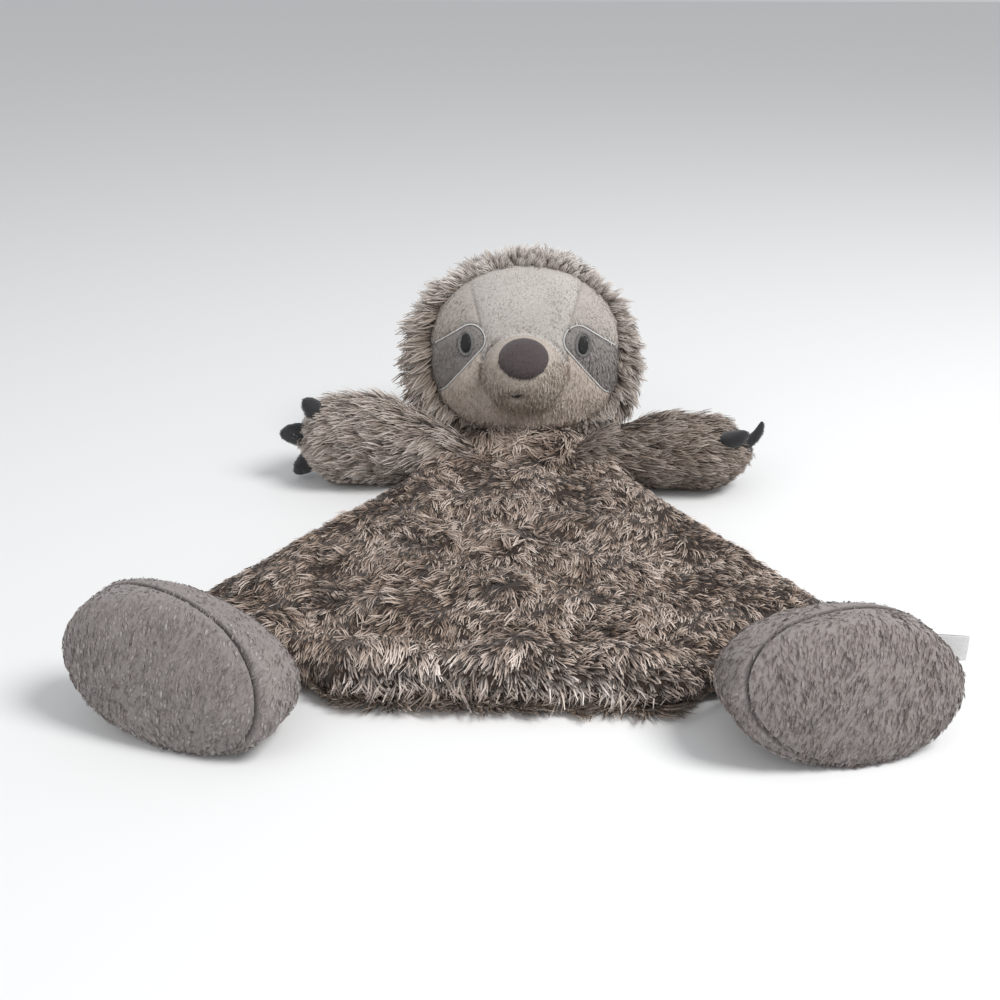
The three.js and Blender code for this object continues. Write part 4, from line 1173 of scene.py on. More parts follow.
class LOVEY_OT_hood(bpy.types.Operator):
    """Build the furry hood and the filling of the head"""

    bl_idname = "lovey.hood"
    bl_label = "Hood"

    def execute(self, context):
        shop = workshop(context)
        rings = hood_rings(-HOOD_INSET)
        cloth = open_rings("hood_cloth", rings)
        thicken(cloth, HOOD_WALL)
        dress(cloth, "head", shop.finishes["hood_backing"], ("head_hood",))
        skin = open_rings("skin", rings)
        self.comb(skin, len(rings[0]))
        density = 1 / shop.length.spacing**2
        for part in range(HOOD_PARTS):
            pile = shop.grow(skin, f"hood_pile_{part + 1}", "ruff", "hood", density / HOOD_PARTS,
                             shop.length.hood_length, 9 * part)
            dress(pile, "head")
        remove(skin)
        self.fill_head(shop)
        return {"FINISHED"}

    def comb(self, skin, count):
        """Away from the face and down, standing up as a ruff next to the face and cropped under the chin."""
        points, facing = vertices(skin), normals(skin)
        middle = head_world(np.array([[0, 0, FACE_RISE]]))[0]
        away = points - middle
        chin = smoothstep(-away[:, 2], *CROP_BELOW) * (away[:, 1] < CROP_BEHIND)
        chin = chin * (1 - smoothstep(np.abs(away[:, 0]), *CROP_ASIDE))
        top = smoothstep(away[:, 2], *HOOD_TOP)
        left = smoothstep(-away[:, 0], *HOOD_LEFT)
        rim = 1 - smoothstep(np.arange(len(points)) // count, *RIM_ROWS)
        away[:, 1] *= RUFF_BACK
        comb = unit(away) * RUFF_AWAY + RUFF_LEAD + wander(points, (40, 7.0, 0.7), (100, 1.0, 0.5))
        comb[:, 2] -= RUFF_DROP * (1 - top)
        ways = weigh(HOOD_PILE, {
            "all": 1, "lumps": lump(points, 150, 2.0), "clouds": lump(points, 60, 4.0),
            "rim": rim, "top": top, "left": left})
        ways["lock"] *= 1 - CHIN_CROP * chin
        comb_skin(skin, lay_down(comb, facing, RUFF_LIFT_LOST), **ways)

    def fill_head(self, shop):
        turn = full_turn(40)
        rings = []
        for tilt in np.linspace(0.12, math.pi - 0.12, 20):
            ring = np.column_stack([np.sin(tilt) * np.cos(turn), np.sin(tilt) * np.sin(turn),
                                    np.full(len(turn), -np.cos(tilt))])
            wad = clear_neck(head_world(head_surface(ring, -PLUSH - WAD_INSET)))
            wad = rest_on_ground(wad, WAD_LOWEST)
            rings.append(wad + wander(wad, (60, 3.0, 1.2 * MM)))
        shop.fill("head_wadding", rings, "head", "head_filling", FILL["head"])


# Face


def head_depth(x, z):
    return head_surface(head_direction(x, z))[:, 1]


def by_chin(z):
    """1 under the mouth, where the muzzle runs into the chin without a crease, and 0 above it."""
    return 1 - smoothstep(z, *CHIN_BLEND)


def muzzle_rise(x, z):
    """How far the muzzle stands out of the head."""
    aside = x / MUZZLE_HALF[0]
    up = (z - MUZZLE_MIDDLE[2]) / MUZZLE_HALF[2]
    reach = np.sqrt(aside**2 + up**2)
    crown = MUZZLE_HALF[1] * np.sqrt(np.maximum(1 - reach**2, 0))
    past = 3 * MUZZLE_HALF[1] * np.maximum(reach - 1, 0)
    rise = head_depth(x, z) - (MUZZLE_MIDDLE[1] - crown + past)
    blend = MUZZLE_BLEND * (1 + CHIN_SOFT * by_chin(z))
    return blend * np.logaddexp(0, np.clip(rise / blend, -30, 30))


def patch_distance(x, z):
    """Signed distance to the drop-shaped eye patch on either side."""
    first, last = PATCH_RADII
    along = PATCH_OUTER - PATCH_INNER
    square = along @ along
    px, pz = np.abs(x) - PATCH_INNER[0], z - PATCH_INNER[1]
    qx = np.abs(px * along[1] - pz * along[0]) / square
    qz = (px * along[0] + pz * along[1]) / square
    step = first - last
    cx, cz = math.sqrt(square - step * step), step
    side = cx * qz - cz * qx
    flank = cx * qx + cz * qz - first
    near = np.sqrt(square * (qx**2 + qz**2)) - first
    far = np.sqrt(square * (qx**2 + qz**2 + 1 - 2 * qz)) - last
    return np.where(side < 0, near, np.where(side > cx, far, flank))


def gusset_distance(x, z):
    """Signed distance to the side of the forehead gusset, which widens above its waist."""
    way = unit(GUSSET_TOP - GUSSET_WAIST)
    slanted = (np.abs(x) - GUSSET_WAIST[0]) * way[1] - (z - GUSSET_WAIST[1]) * way[0]
    return np.where(z < GUSSET_WAIST[1], np.abs(x) - GUSSET_WAIST[0], slanted)


def brow_distance(x, z):
    """Positive above the line along the middle of the eye patch."""
    way = unit(PATCH_OUTER - PATCH_INNER)
    return (z - PATCH_INNER[1]) * way[0] - (np.abs(x) - PATCH_INNER[0]) * way[1]


def muzzle_distance(x, z):
    aside = x / (MUZZLE_HALF[0] * 0.97)
    up = (z - MUZZLE_MIDDLE[2]) / (MUZZLE_HALF[2] * 0.97)
    return (np.sqrt(aside**2 + up**2) - 1) * MUZZLE_HALF[0]


def seam_distance(x, z):
    """Distance to the nearest seam between the panels of the face."""
    patch = np.abs(patch_distance(x, z))
    clear = patch_distance(x, z) > 0
    gusset = np.where(clear & (z > GUSSET_FOOT_Z), np.abs(gusset_distance(x, z)), 1)
    aside = gusset_distance(x, z) > 0
    brow = np.where(clear & aside, np.abs(brow_distance(x, z)), 1)
    return np.minimum(patch, np.minimum(gusset, brow)) + 0.4 * MM * (muzzle_distance(x, z) < 0)


def face_point(x, z, lift=0.0):
    """A point on the sewn face, with its seams drawn in and its panels puffed up between them."""
    gap = seam_distance(x, z)
    puff = PANEL_PUFF * smoothstep(gap, 0, PUFF_REACH) - SEAM_DEPTH * hump(gap, SEAM_HALF)
    crease = smoothstep(np.abs(x), *CREASE_ASIDE) * (1 - by_chin(z)) * np.where(x < 0, *CREASE_SIDES)
    puff -= MUZZLE_CREASE * crease * hump(muzzle_distance(x, z) - CREASE_AT, CREASE_HALF)
    dimple = DIMPLE * hump(x - MOUTH[0], DIMPLE_HALF[0]) * hump(z - MOUTH[1], DIMPLE_HALF[1])
    tuck = FACE_TUCK * smoothstep(face_reach(x, z), *FACE_RIM)
    depth = head_depth(x, z) - muzzle_rise(x, z) - puff + dimple + tuck - lift
    return head_world(np.column_stack([x, depth, z]))


def snap(x, z, distance, reach):
    """Moves points that lie close to a seam onto it."""
    step = 0.05 * MM
    here = distance(x, z)
    gx = (distance(x + step, z) - here) / step
    gz = (distance(x, z + step) - here) / step
    share = np.where(np.abs(here) < reach, here / np.maximum(gx**2 + gz**2, 0.3), 0)
    return x - share * gx, z - share * gz


FACE_PANELS = (
    ("left_eye_patch", "patch", "patch_plush"), ("right_eye_patch", "patch", "patch_plush"),
    ("muzzle", "muzzle", "pale_plush"), ("forehead_gusset", "pale", "pale_plush"),
    ("left_brow", "brow", "brow_plush"), ("right_brow", "brow", "brow_plush"),
    ("lower_face", "cheek", "cheek_plush"),
)


def face_grid(rings=52, count=220):
    """Points across the face that keep to its seams, and the panel of each triangle."""
    edge_x, edge_z = face_edge(count)
    share = (np.arange(1, rings + 1) / rings)[:, None] ** 0.8
    x = np.concatenate([[0], (share * edge_x).ravel()])
    z = np.concatenate([[FACE_RISE], (FACE_RISE + share * (edge_z - FACE_RISE)).ravel()])
    rim = np.arange(len(x)) >= len(x) - count
    for distance in (gusset_distance, brow_distance, muzzle_distance, patch_distance):
        sx, sz = snap(x, z, distance, 0.5 * MM)
        x, z = np.where(rim, x, sx), np.where(rim, z, sz)
    faces = [(0, 1 + (i + 1) % count, 1 + i) for i in range(count)]
    for row in range(rings - 1):
        for i in range(count):
            near, far, j = 1 + row * count, 1 + (row + 1) * count, (i + 1) % count
            faces += [(near + i, near + j, far + j), (near + i, far + j, far + i)]
    faces = np.array(faces)
    mx, mz = x[faces].mean(1), z[faces].mean(1)
    panel = np.full(len(faces), 6)
    panel[(brow_distance(mx, mz) > 0) & (gusset_distance(mx, mz) > 0)] = 5
    panel[(panel == 5) & (mx < 0)] = 4
    panel[(gusset_distance(mx, mz) < 0) & (mz > GUSSET_FOOT_Z)] = 3
    panel[muzzle_distance(mx, mz) < 0] = 2
    panel[patch_distance(mx, mz) < 0] = 1
    panel[(panel == 1) & (mx < 0)] = 0
    return x, z, faces, panel


# What the places on the face add to the length and the tone of its plush
FACE_LOCK = {"all": 1, "seam": -0.6}
# The mouth's tone is painted shade under the muzzle
FACE_TONE = {"all": 0.5, "clouds": 0.3, "mouth": -0.6}
# Painted light and shade: the brows and eye patches darker on the left and lighter on the right, the muzzle
# lighter towards its top
PANEL_TONE = {"brow": {"side": 0.4}, "patch": {"side": 0.2}, "muzzle": {"high": 0.4}}
FACE_FAN = 4  # how far the plush leads aside, for each metre from the middle
SEAM_SHADOW = 0.8 * MM
PATCH_NEAR = 2 * MM  # closer to an eye patch, the painted shade in the seams is darker
MOUTH_SHADOW = (17 * MM, 9 * MM)
MOUTH_SHADOW_DROP = 16 * MM
# Over which the muzzle's plush is lightened towards its top, as painted light
MUZZLE_LIT_REACH = (-4 * MM, 16 * MM)
# Rings of the muzzle's filling: their share of its width and how deep they lie
MUZZLE_WAD = ((0.72, 0.5), (0.74, 0.35), (0.62, 0.2), (0.4, 0.12), (0.15, 0.1))
MUZZLE_WALL = 3.2 * MM


class LOVEY_OT_face(bpy.types.Operator):
    """Build the sewn panels of the face and the filling of the muzzle"""

    bl_idname = "lovey.face"
    bl_label = "Face"

    def execute(self, context):
        shop = workshop(context)
        x, z, faces, panel = face_grid()
        points = face_point(x, z)
        for index, (name, kind, slot) in enumerate(FACE_PANELS):
            used, renamed = np.unique(faces[panel == index], return_inverse=True)
            own = [tuple(f) for f in renamed.reshape(-1, 3)[:, ::-1]]
            here, px, pz = points[used], x[used], z[used]
            # Painted shade in the grooves of the seams, stronger next to an eye patch
            seam = hump(seam_distance(px, pz), SEAM_SHADOW)
            seam = seam * np.where(np.abs(patch_distance(px, pz)) < PATCH_NEAR, 0.5, 0.25)
            ways = weigh({"lock": FACE_LOCK, "tone": {**FACE_TONE, **PANEL_TONE.get(kind, {})}}, {
                "all": 1, "clouds": lump(here, 90, index), "seam": seam, "side": np.sign(px),
                "mouth": hump(px, MOUTH_SHADOW[0]) * hump(pz + MOUTH_SHADOW_DROP, MOUTH_SHADOW[1]),
                "high": smoothstep(pz, *MUZZLE_LIT_REACH)})
            comb = np.column_stack([px * FACE_FAN, 0 * px, 0 * px - 1]) + wander(here, (60, index, 0.6))
            skin = mesh_object("skin", here, own)
            pile = shop.coat(skin, comb, ways, f"{name}_pile", kind + "_pile", "face", NAP_DENSITY["face"],
                             shop.length.face_length, index)
            dress(pile, "head")
            cloth = mesh_object(f"{name}_cloth", here, own)
            set_attribute(cloth, "seam", "FLOAT", seam)
            thicken(cloth, FACE_WALL)
            dress(cloth, "head", shop.finishes[kind], (name,))
        self.fill_muzzle(shop)
        return {"FINISHED"}

    def fill_muzzle(self, shop):
        turn = full_turn(28)
        rings = []
        for share, depth in MUZZLE_WAD:
            x = MUZZLE_HALF[0] * share * np.cos(turn)
            z = MUZZLE_MIDDLE[2] + MUZZLE_HALF[2] * share * np.sin(turn)
            back = head_depth(x, z) - muzzle_rise(x, z) * (1 - depth) + MUZZLE_WALL
            rings.append(head_world(np.column_stack([x, back, z])))
        shop.fill("muzzle_wadding", rings, "head", "muzzle_filling", FILL["head"])


DOME_SINK = 0.3 * MM  # of a raised patch into the face
DOME_BACK = 1.2 * MM  # of its back behind the face
RIB_WIDTH = 0.55 * MM  # of the satin stitches on the pupils
RIB_RISE = 0.08 * MM
PUPIL_RISE = 1.3 * MM
STITCH_LIFT = 0.3 * MM
MOUTH_LIFT = 1.3 * MM
MOUTH_CURVE = 0.8 * MM
# Distance between two threads, their thickness, length and rise, and the seed of their tones
STITCHES = {
    "satin": (0.38 * MM, (0.46 * MM, 1.05 * MM, 0.65 * MM), 5),
    "ring": (0.42 * MM, (0.48 * MM, RING_BORDER, 0.5 * MM), 6),
    "dark": (1.0 * MM, (1.5 * MM, 1.3 * MM, 0.8 * MM), 8),
}
STITCH_LEAN = np.array([0.0, -1.0, 0.12])  # the threads lean towards the front
STITCH_LEAN_SHARE = 0.4


def oval(middle, half, side, shares, count):
    """Rings of an oval on the face, from its middle to its edge."""
    turn = full_turn(count)
    for share in shares:
        x = side * middle[0] + half[0] * share * np.cos(turn)
        yield x, middle[1] + half[1] * share * np.sin(turn), share


def domed_oval(name, middle, half, side, rise, count=48, rows=12, ribs=0.0):
    """A raised oval patch on the face, closed behind."""
    rings = []
    for x, z, share in oval(middle, half, side, np.linspace(0.03, 1, rows), count):
        dome = rise * np.sqrt(max(1 - share**4, 0)) - DOME_SINK
        rings.append(face_point(x, z, dome + ribs * np.sin(x * 2 * math.pi / RIB_WIDTH)))
    for x, z, _ in oval(middle, half, side, (0.9, 0.4), count):
        rings.append(face_point(x, z, -DOME_BACK))
    return closed_rings(name, rings[::-1])


def thread_mesh():
    """One laid thread: a low arch across x, one unit long and thick."""
    sides, steps = 6, 4
    rings = []
    for step in range(steps + 1):
        share = step / steps
        y = share - 0.5
        thick = 0.5 * math.sqrt(max(1 - (2 * y) ** 6, 0.02))
        turn = full_turn(sides)
        rings.append(np.column_stack([thick * np.cos(turn) + 0.5 * y, np.full(sides, y),
                                      thick * np.sin(turn) + 0.7 * (1 - (2 * y) ** 2)]))
    thread = closed_rings("thread", rings[::-1])
    across = vertices(thread)[:, 1] + 0.5
    set_attribute(thread, "along", "FLOAT", across)
    bpy.context.scene.collection.objects.unlink(thread)
    return thread


def stitched_line(shop, name, thread, x, z, closed, finish, lift=STITCH_LIFT):
    """Threads laid across a line on the face."""
    step, size, seed = STITCHES[finish]
    points = face_point(x, z, lift)
    up = unit(face_point(x, z, lift + 2 * MM) - points)
    count = len(x)
    edges = [(i, (i + 1) % count) for i in range(count if closed else count - 1)]
    line = mesh_object("line", points, [], edges)
    set_attribute(line, "up", "FLOAT_VECTOR", unit(up + STITCH_LEAN_SHARE * STITCH_LEAN))
    made = run_tree(shop.stitches, line, name, {
        "Thread": thread, "Finish": shop.finishes[finish], "Step": step, "Size": size, "Seed": seed})
    remove(line)
    return made


def drop_outline(side):
    """The edge of an eye patch from where it leaves the face, round the eye and back."""
    along = PATCH_OUTER - PATCH_INNER
    heading = math.atan2(along[1], along[0])
    spread = math.acos((PATCH_RADII[0] - PATCH_RADII[1]) / np.linalg.norm(along))
    inner = np.linspace(heading + spread, heading - spread + 2 * math.pi, 40)
    outer = np.linspace(heading - spread, heading + spread, 60)
    inner_arc = PATCH_INNER + PATCH_RADII[0] * np.column_stack([np.cos(inner), np.sin(inner)])
    outer_arc = PATCH_OUTER + PATCH_RADII[1] * np.column_stack([np.cos(outer), np.sin(outer)])
    loop = np.vstack([outer_arc[30:], inner_arc, outer_arc[:30]])
    fine = np.vstack([np.linspace(a, b, 6, endpoint=False) for a, b in zip(loop[:-1], loop[1:])])
    kept = fine[face_reach(fine[:, 0], fine[:, 1]) < 0.985]
    return side * kept[:, 0], kept[:, 1]


class LOVEY_OT_features(bpy.types.Operator):
    """Build the eyes, the satin edging, the nose and the mouth"""

    bl_idname = "lovey.features"
    bl_label = "Eyes, nose and mouth"

    def execute(self, context):
        shop = workshop(context)
        thread = thread_mesh()
        for name, side in SIDES:
            x, z = drop_outline(side)
            edging = stitched_line(shop, f"{name}_eye_edging_stitches", thread, x, z, False, "satin")
            dress(edging, "head", None, (f"{name}_eye_edging",))
            x, z, _ = next(oval(PUPIL_MIDDLE, PUPIL_HALF + RING_BORDER / 2, side, (1,), 90))
            ring = stitched_line(shop, f"{name}_eye_ring_stitches", thread, x, z, True, "ring")
            dress(ring, "head", None, (f"{name}_eye_ring",))
            pupil = domed_oval(
                f"{name}_pupil_satin", PUPIL_MIDDLE, PUPIL_HALF, side, PUPIL_RISE, ribs=RIB_RISE)
            chart = pupil.data.uv_layers.new(name=UV_NAME)
            chart.data.foreach_set("uv", [0.5] * (2 * len(chart.data)))
            dress(pupil, "head", shop.finishes["dark"], (f"{name}_pupil",))
        nose, skin = (domed_oval(name, NOSE_MIDDLE, NOSE_HALF, 1, NOSE_RISE, 72, 20)
                      for name in ("nose_cloth", "skin"))
        dress(nose, "head", shop.finishes["nose"], ("nose",))
        comb = np.array([0, 0, -1.0]) + wander(vertices(skin), (150, 4.0, 0.6))
        pile = shop.coat(skin, comb, {}, "nose_pile", "nose_pile", "nose", NAP_DENSITY["nose"],
                         shop.length.face_length * NOSE_PILE)
        dress(pile, "head")
        x = np.linspace(-MOUTH_HALF, MOUTH_HALF, 24)
        smile = MOUTH[1] + MOUTH_CURVE * (x / MOUTH_HALF) ** 2
        mouth = stitched_line(shop, "mouth_thread", thread, MOUTH[0] + x, smile, False, "dark", MOUTH_LIFT)
        dress(mouth, "head", None, ("mouth_stitch",))
        bpy.data.objects.remove(thread)
        return {"FINISHED"}


# Limbs


def limb_section(limb, swell, turn, across, high):
    spread = across * np.cos(turn)
    rise = high * np.sin(turn) * (1 + limb["egg"] * np.cos(turn) * swell)
    roll = limb["roll"] * swell
    return spread * np.cos(roll) + rise * np.sin(roll), rise * np.cos(roll) - spread * np.sin(roll)


def limb_middle(limb):
    turn = full_turn(72)
    return -limb_section(limb, 1, turn, *limb["half"])[1].min() - SEAM_HEIGHT - REST_SINK


def limb_points(limb, reach, turn, grow):
    """Points of a limb's cover at these reaches and angles: it swells from its root and ends in a crown."""
    swell = smoothstep(reach, *limb["swell"])
    across, high = (root + (full - root) * swell + grow for root, full in zip(limb["root"], limb["half"]))
    past = np.clip((reach - limb["length"] + limb["round"]) / (limb["round"] + grow), 0, 1)
    shrink = np.sqrt(np.maximum(1 - past**2, 0.0004))
    y, z = limb_section(limb, swell, turn, across * shrink, high * shrink)
    middle = limb_middle(limb)
    z = z + middle * swell
    lean = math.tan(limb["lean"]) * np.clip(reach / SOLE_SEAM, 0, 1)
    return np.column_stack([reach - lean * (z - middle), y, z])


def limb_rings(limb, grow, count, start=LIMB_START, steps=16, round_steps=12):
    """Rings along a stuffed limb from its root to its crown."""
    turn = full_turn(count)
    straight = limb["length"] - limb["round"]
    crown = limb["round"] + grow
    reaches = list(np.linspace(start, straight, steps))
    for step in range(1, round_steps):
        reaches.append(straight + crown * math.sin(math.pi / 2 * step / round_steps))
    return [limb_points(limb, np.full(count, reach), turn, grow) for reach in reaches]


def place_limb(points, place, turn):
    c, s = math.cos(turn), math.sin(turn)
    x, y, z = points.T
    return np.column_stack([x * c - y * s, x * s + y * c, z]) + place


def arm_place(side):
    return SHOULDER * np.array([side, 1, 1]), 0 if side > 0 else math.pi


def foot_place(side):
    return ANKLE * np.array([side, 1, 1]), -math.pi / 2 + side * FOOT_TURN


class LOVEY_OT_arms(bpy.types.Operator):
    """Build the furry arms and their filling"""

    bl_idname = "lovey.arms"
    bl_label = "Arms"

    def execute(self, context):
        shop = workshop(context)
        for name, side in SIDES:
            at, turn = arm_place(side)
            limb = {**ARM, "half": (ARM["half"][0], ARM_HEIGHT[name])}
            rings = []
            for ring in limb_rings(limb, -ARM_INSET, ARM_COUNT, -ARM_TUCK, 24):
                ring[:, 2] += ARM_LIFT * (1 - smoothstep(ring[:, 0], *ARM["swell"]))
                ring[:, 2] -= ARM_SINK * smoothstep(-ring[:, 0], ARM_TUCK / 3, ARM_TUCK)
                ring = place_limb(ring, at, turn)
                rings.append(rest_on_ground(ring + wander(ring, (55, side, MM))))
            cloth = closed_rings(f"{name}_arm_cloth", rings)
            skin = open_rings("skin", rings + [np.repeat(rings[-1].mean(0)[None], ARM_COUNT, 0)])
            comb, ways = self.comb(vertices(skin), normals(skin), at, side)
            pile = shop.coat(
                skin, comb, ways, f"{name}_arm_pile", "combed", "arm", ARM_DENSITY / shop.length.spacing**2,
                shop.length.arm_length, side)
            sewn = at - np.array([side * ARM_TUCK, 0, 0])
            free = at + np.array([side * ARM_FREE, 0, 0])
            for piece in (pile, cloth):
                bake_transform(piece)
            cloth.data.materials.append(shop.finishes["arm_backing"])
            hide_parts(f"{name}_arm_cover")
            rings = stuffing(ARM, at, turn)
            shop.fill(f"{name}_arm_wadding", rings, f"{name}_arm", f"{name}_arm_filling", FILL["arm"])
        return {"FINISHED"}

    def comb(self, points, facing, at, side):
        """Along the arm, fanned out from the shoulder, shorter on the hand and below."""
        out = (np.abs(points[:, 0]) - abs(at[0])) / ARM["length"]
        fan = unit(points - at) * FAN_FLAT
        fan *= (smoothstep(out, 0.0, FAN_START) * np.clip(1 - out, 0, 1))[:, None]
        swirl = wander(points, (45, 3.0 + side, 0.4), (120, 1.0, 0.25))
        comb = ARM_LEAD * np.array([side, 1, 1]) + fan + swirl
        tip = smoothstep(out, *HAND)
        below = smoothstep(-facing[:, 2], 0.0, 0.7)
        ways = {
            "lock": (1 - HAND_CROP * tip) * (1 - BELOW_CROP * below),
            "tone": ARM_TONE - ARM_TONE_SIDE * side + lump(points, 60, side) * ARM_CLOUDS,
        }
        return lay_down(comb, facing, ARM_LIFT_LOST), ways


def stuffing(limb, at, turn):
    """Rings of a lump of filling inside a limb's cover."""
    rings = []
    for ring in limb_rings(limb, -PLUSH - LIMB_WAD_INSET, 32, LIMB_START + LIMB_WAD_START, 10, 7):
        placed = rest_on_ground(place_limb(ring, at, turn), LIMB_WAD_LOWEST)
        rings.append(placed + wander(placed, (80, 2.0, 0.8 * MM)))
    return rings


class LOVEY_OT_claws(bpy.types.Operator):
    """Build the soft claws"""

    bl_idname = "lovey.claws"
    bl_label = "Claws"

    def execute(self, context):
        shop = workshop(context)
        for name, side in SIDES:
            for kind in ("first", "middle", "last"):
                node = f"{name}_{kind}_claw"
                claw = new_object(f"{node}_cloth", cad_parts[node].data.copy())
                weld = claw.modifiers.new("weld", "WELD")
                weld.merge_threshold = WELD
                smooth = claw.modifiers.new("round", "SUBSURF")
                smooth.levels = smooth.render_levels = 2
                apply_modifiers(claw)
                self.shape(claw, side, CLAW_HOOK.get(node, 0.0))
                skin = new_object("skin", claw.data.copy())
                comb = np.array([side * 1.0, 0, -0.2]) + wander(vertices(skin), (160, 3.0, 0.6))
                pile = shop.coat(skin, comb, {}, f"{node}_pile", "claw_pile", "claw", NAP_DENSITY["claw"],
                                 CLAW_PILE)
                dress(pile, node)
                dress(claw, node, shop.finishes["claw"], (node,))
        return {"FINISHED"}

    def shape(self, claw, side, hook):
        """Plumps a claw up, or thins and lifts it, and bends its tip upwards."""
        points = vertices(claw)
        middle = points.mean(0)
        points = middle + (points - middle) * CLAW_PLUMP[side] + np.array([0, 0, CLAW_LIFT[side]])
        if hook:
            points = middle + (points - middle) * HOOK_SCALE
            along = side * points[:, 0]
            root, length = along.min(), np.ptp(along)
            bend = hook * (along - root) / length
            arm = length / hook - (points[:, 2] - middle[2])
            points[:, 0] = side * (root + HOOK_SHIFT + arm * np.sin(bend))
            points[:, 2] = middle[2] + length / hook - arm * np.cos(bend)
        claw.data.vertices.foreach_set("co", points.ravel())
        claw.data.update()


# Feet


def foot_seam(limb, turn):
    """Reach of the sole's seam at these angles round a foot: a plane skewed outwards and leaning back."""
    reach = np.full(len(turn), SOLE_SEAM)
    lean = math.tan(limb["lean"]) - math.tan(limb["seam_lean"])
    for _ in range(6):
        _, y, z = limb_points(limb, reach, turn, -FOOT_INSET).T
        goal = SOLE_SEAM + lean * (z - limb_middle(limb)) - math.tan(limb["seam_skew"]) * y
        reach = np.clip((reach + goal) / 2, SEAM_LEAST, limb["length"] - SEAM_FROM_TIP)
    return reach


def foot_rings(limb, part):
    """Rings of a foot's upper or of its sole, drawn in where they come close to the seam."""
    turn = full_turn(FOOT_COUNT)
    seam = foot_seam(limb, turn)
    seam_line = limb_points(limb, seam, turn, -FOOT_INSET)
    tip = np.full(FOOT_COUNT, limb["length"] - FOOT_INSET)
    ends = (np.full(FOOT_COUNT, LIMB_START), seam) if part == "foot_upper" else (seam, tip)
    steps, bunch = FOOT_RINGS[part]
    shares = np.linspace(0, 1, steps) ** bunch
    rings, gaps = [], []
    for share in shares:
        reach = ends[0] + (ends[1] - ends[0]) * share
        ring = limb_points(limb, reach, turn, -FOOT_INSET)
        middle = ring.mean(0)
        away = ring - middle
        out = np.linalg.norm(away, axis=1)
        gap = np.linalg.norm(ring - seam_line, axis=1)
        draw = TUCK * hump(gap, TUCK_WIDTH) / np.maximum(out, TUCK)
        rings.append(middle + away * (1 - draw)[:, None])
        gaps.append(gap)
    return rings, np.concatenate(gaps)


# What the places on the feet add to the length and the tone of their plush
FOOT_PILE = {
    "lock": {"all": 1, "seam": -0.85},
    # The seam's tone is painted shade in the groove of the sole's seam
    "tone": {"all": 0.45, "side": -0.25, "clouds": 0.3, "seam": -0.9},
}
FOOT_LEAD = np.array([-0.2, -0.2, -1.0])
FOOT_LIFT_LOST = 0.9
SEAM_CROP = (0.2 * MM, 1.2 * MM)  # from the sole's seam, over which the plush gets its full length
# From the sole's seam, over which its cloth gets painted shade
SEAM_SHADE_REACH = (0.5 * MM, 1.4 * MM)


class LOVEY_OT_feet(bpy.types.Operator):
    """Build the plush feet, their soles and their filling"""

    bl_idname = "lovey.feet"
    bl_label = "Feet"

    def execute(self, context):
        shop = workshop(context)
        for name, side in SIDES:
            at, turn = foot_place(side)
            limb = {**FOOT, "egg": side * FOOT["egg"], "roll": FOOT_ROLL[name],
                    "seam_lean": SEAM_LEAN[name], "seam_skew": side * SEAM_SKEW}
            for index, part in enumerate(("foot_upper", "sole")):
                rings, gap = foot_rings(limb, part)
                placed = []
                for ring in rings:
                    ring = place_limb(ring, at, turn)
                    placed.append(rest_on_ground(ring + wander(ring, (32, side + 4.0, 1.1 * MM))))
                cloth = closed_rings(f"{name}_{part}_cloth", placed)
                # Painted shade on the cloth along the sole's seam
                seam = np.append(1 - smoothstep(gap, *SEAM_SHADE_REACH), [0, 0])
                set_attribute(cloth, "seam", "FLOAT", seam)
                ends = [np.repeat(placed[-1].mean(0)[None], FOOT_COUNT, 0)] if part == "sole" else []
                skin = open_rings("skin", placed + ends)
                points, facing = vertices(skin), normals(skin)
                comb = FOOT_LEAD + wander(points, (38, 2.0 + side, 0.7), (110, index, 0.3))
                spare = np.ones(len(points) - len(gap))
                ways = weigh(FOOT_PILE, {
                    "all": 1, "side": side, "clouds": lump(points, 70, index),
                    "seam": 1 - smoothstep(np.append(gap, spare), *SEAM_CROP)})
                pile = shop.coat(
                    skin, lay_down(comb, facing, FOOT_LIFT_LOST), ways, f"{name}_{part}_pile", "foot_pile",
                    f"{name}_foot", NAP_DENSITY["foot"], shop.length.foot_length, index + 3 * side)
                dress(pile, f"{name}_foot")
                dress(cloth, f"{name}_foot", shop.finishes["foot"], (f"{name}_{part}",))
            rings = stuffing(limb, at, turn)
            shop.fill(f"{name}_foot_wadding", rings, f"{name}_foot", f"{name}_foot_filling", FILL["foot"])
        return {"FINISHED"}


LABEL_STEPS = 18
LABEL_WALL = 0.25 * MM
LABEL_APART = 0.75 * MM  # of the fold's two halves from their middle
LABEL_SWAY = 2.2 * MM


class LOVEY_OT_label(bpy.types.Operator):
    """Build the blank folded label in the seam of the right foot"""

    bl_idname = "lovey.label"
    bl_label = "Label"

    def execute(self, context):
        shop = workshop(context)
        low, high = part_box("care_label")
        reach = high.x - low.x
        middle = (low.y + high.y) / 2
        path = []
        for step in range(LABEL_STEPS + 1):
            share = step / LABEL_STEPS
            out = math.sin(math.pi * share)
            apart = LABEL_APART * math.cos(math.pi * share) * (1 - 0.3 * out)
            aside = 0.5 * (out - 0.5) * LABEL_SWAY
            path.append((low.x + reach * min(1.35 * out, 1) ** 0.8, middle + apart - aside))
        points = [(x, y, height) for x, y in path for height in (low.z, (low.z + high.z) / 2, high.z)]
        corners = [3 * step + row for step in range(LABEL_STEPS) for row in (0, 1)]
        faces = [(corner, corner + 1, corner + 4, corner + 3) for corner in corners]
        label = mesh_object("care_label_tape", points, faces)
        thicken(label, LABEL_WALL, 0)
        dress(label, "right_foot", shop.finishes["label"], ("care_label",))
        return {"FINISHED"}


# Stage


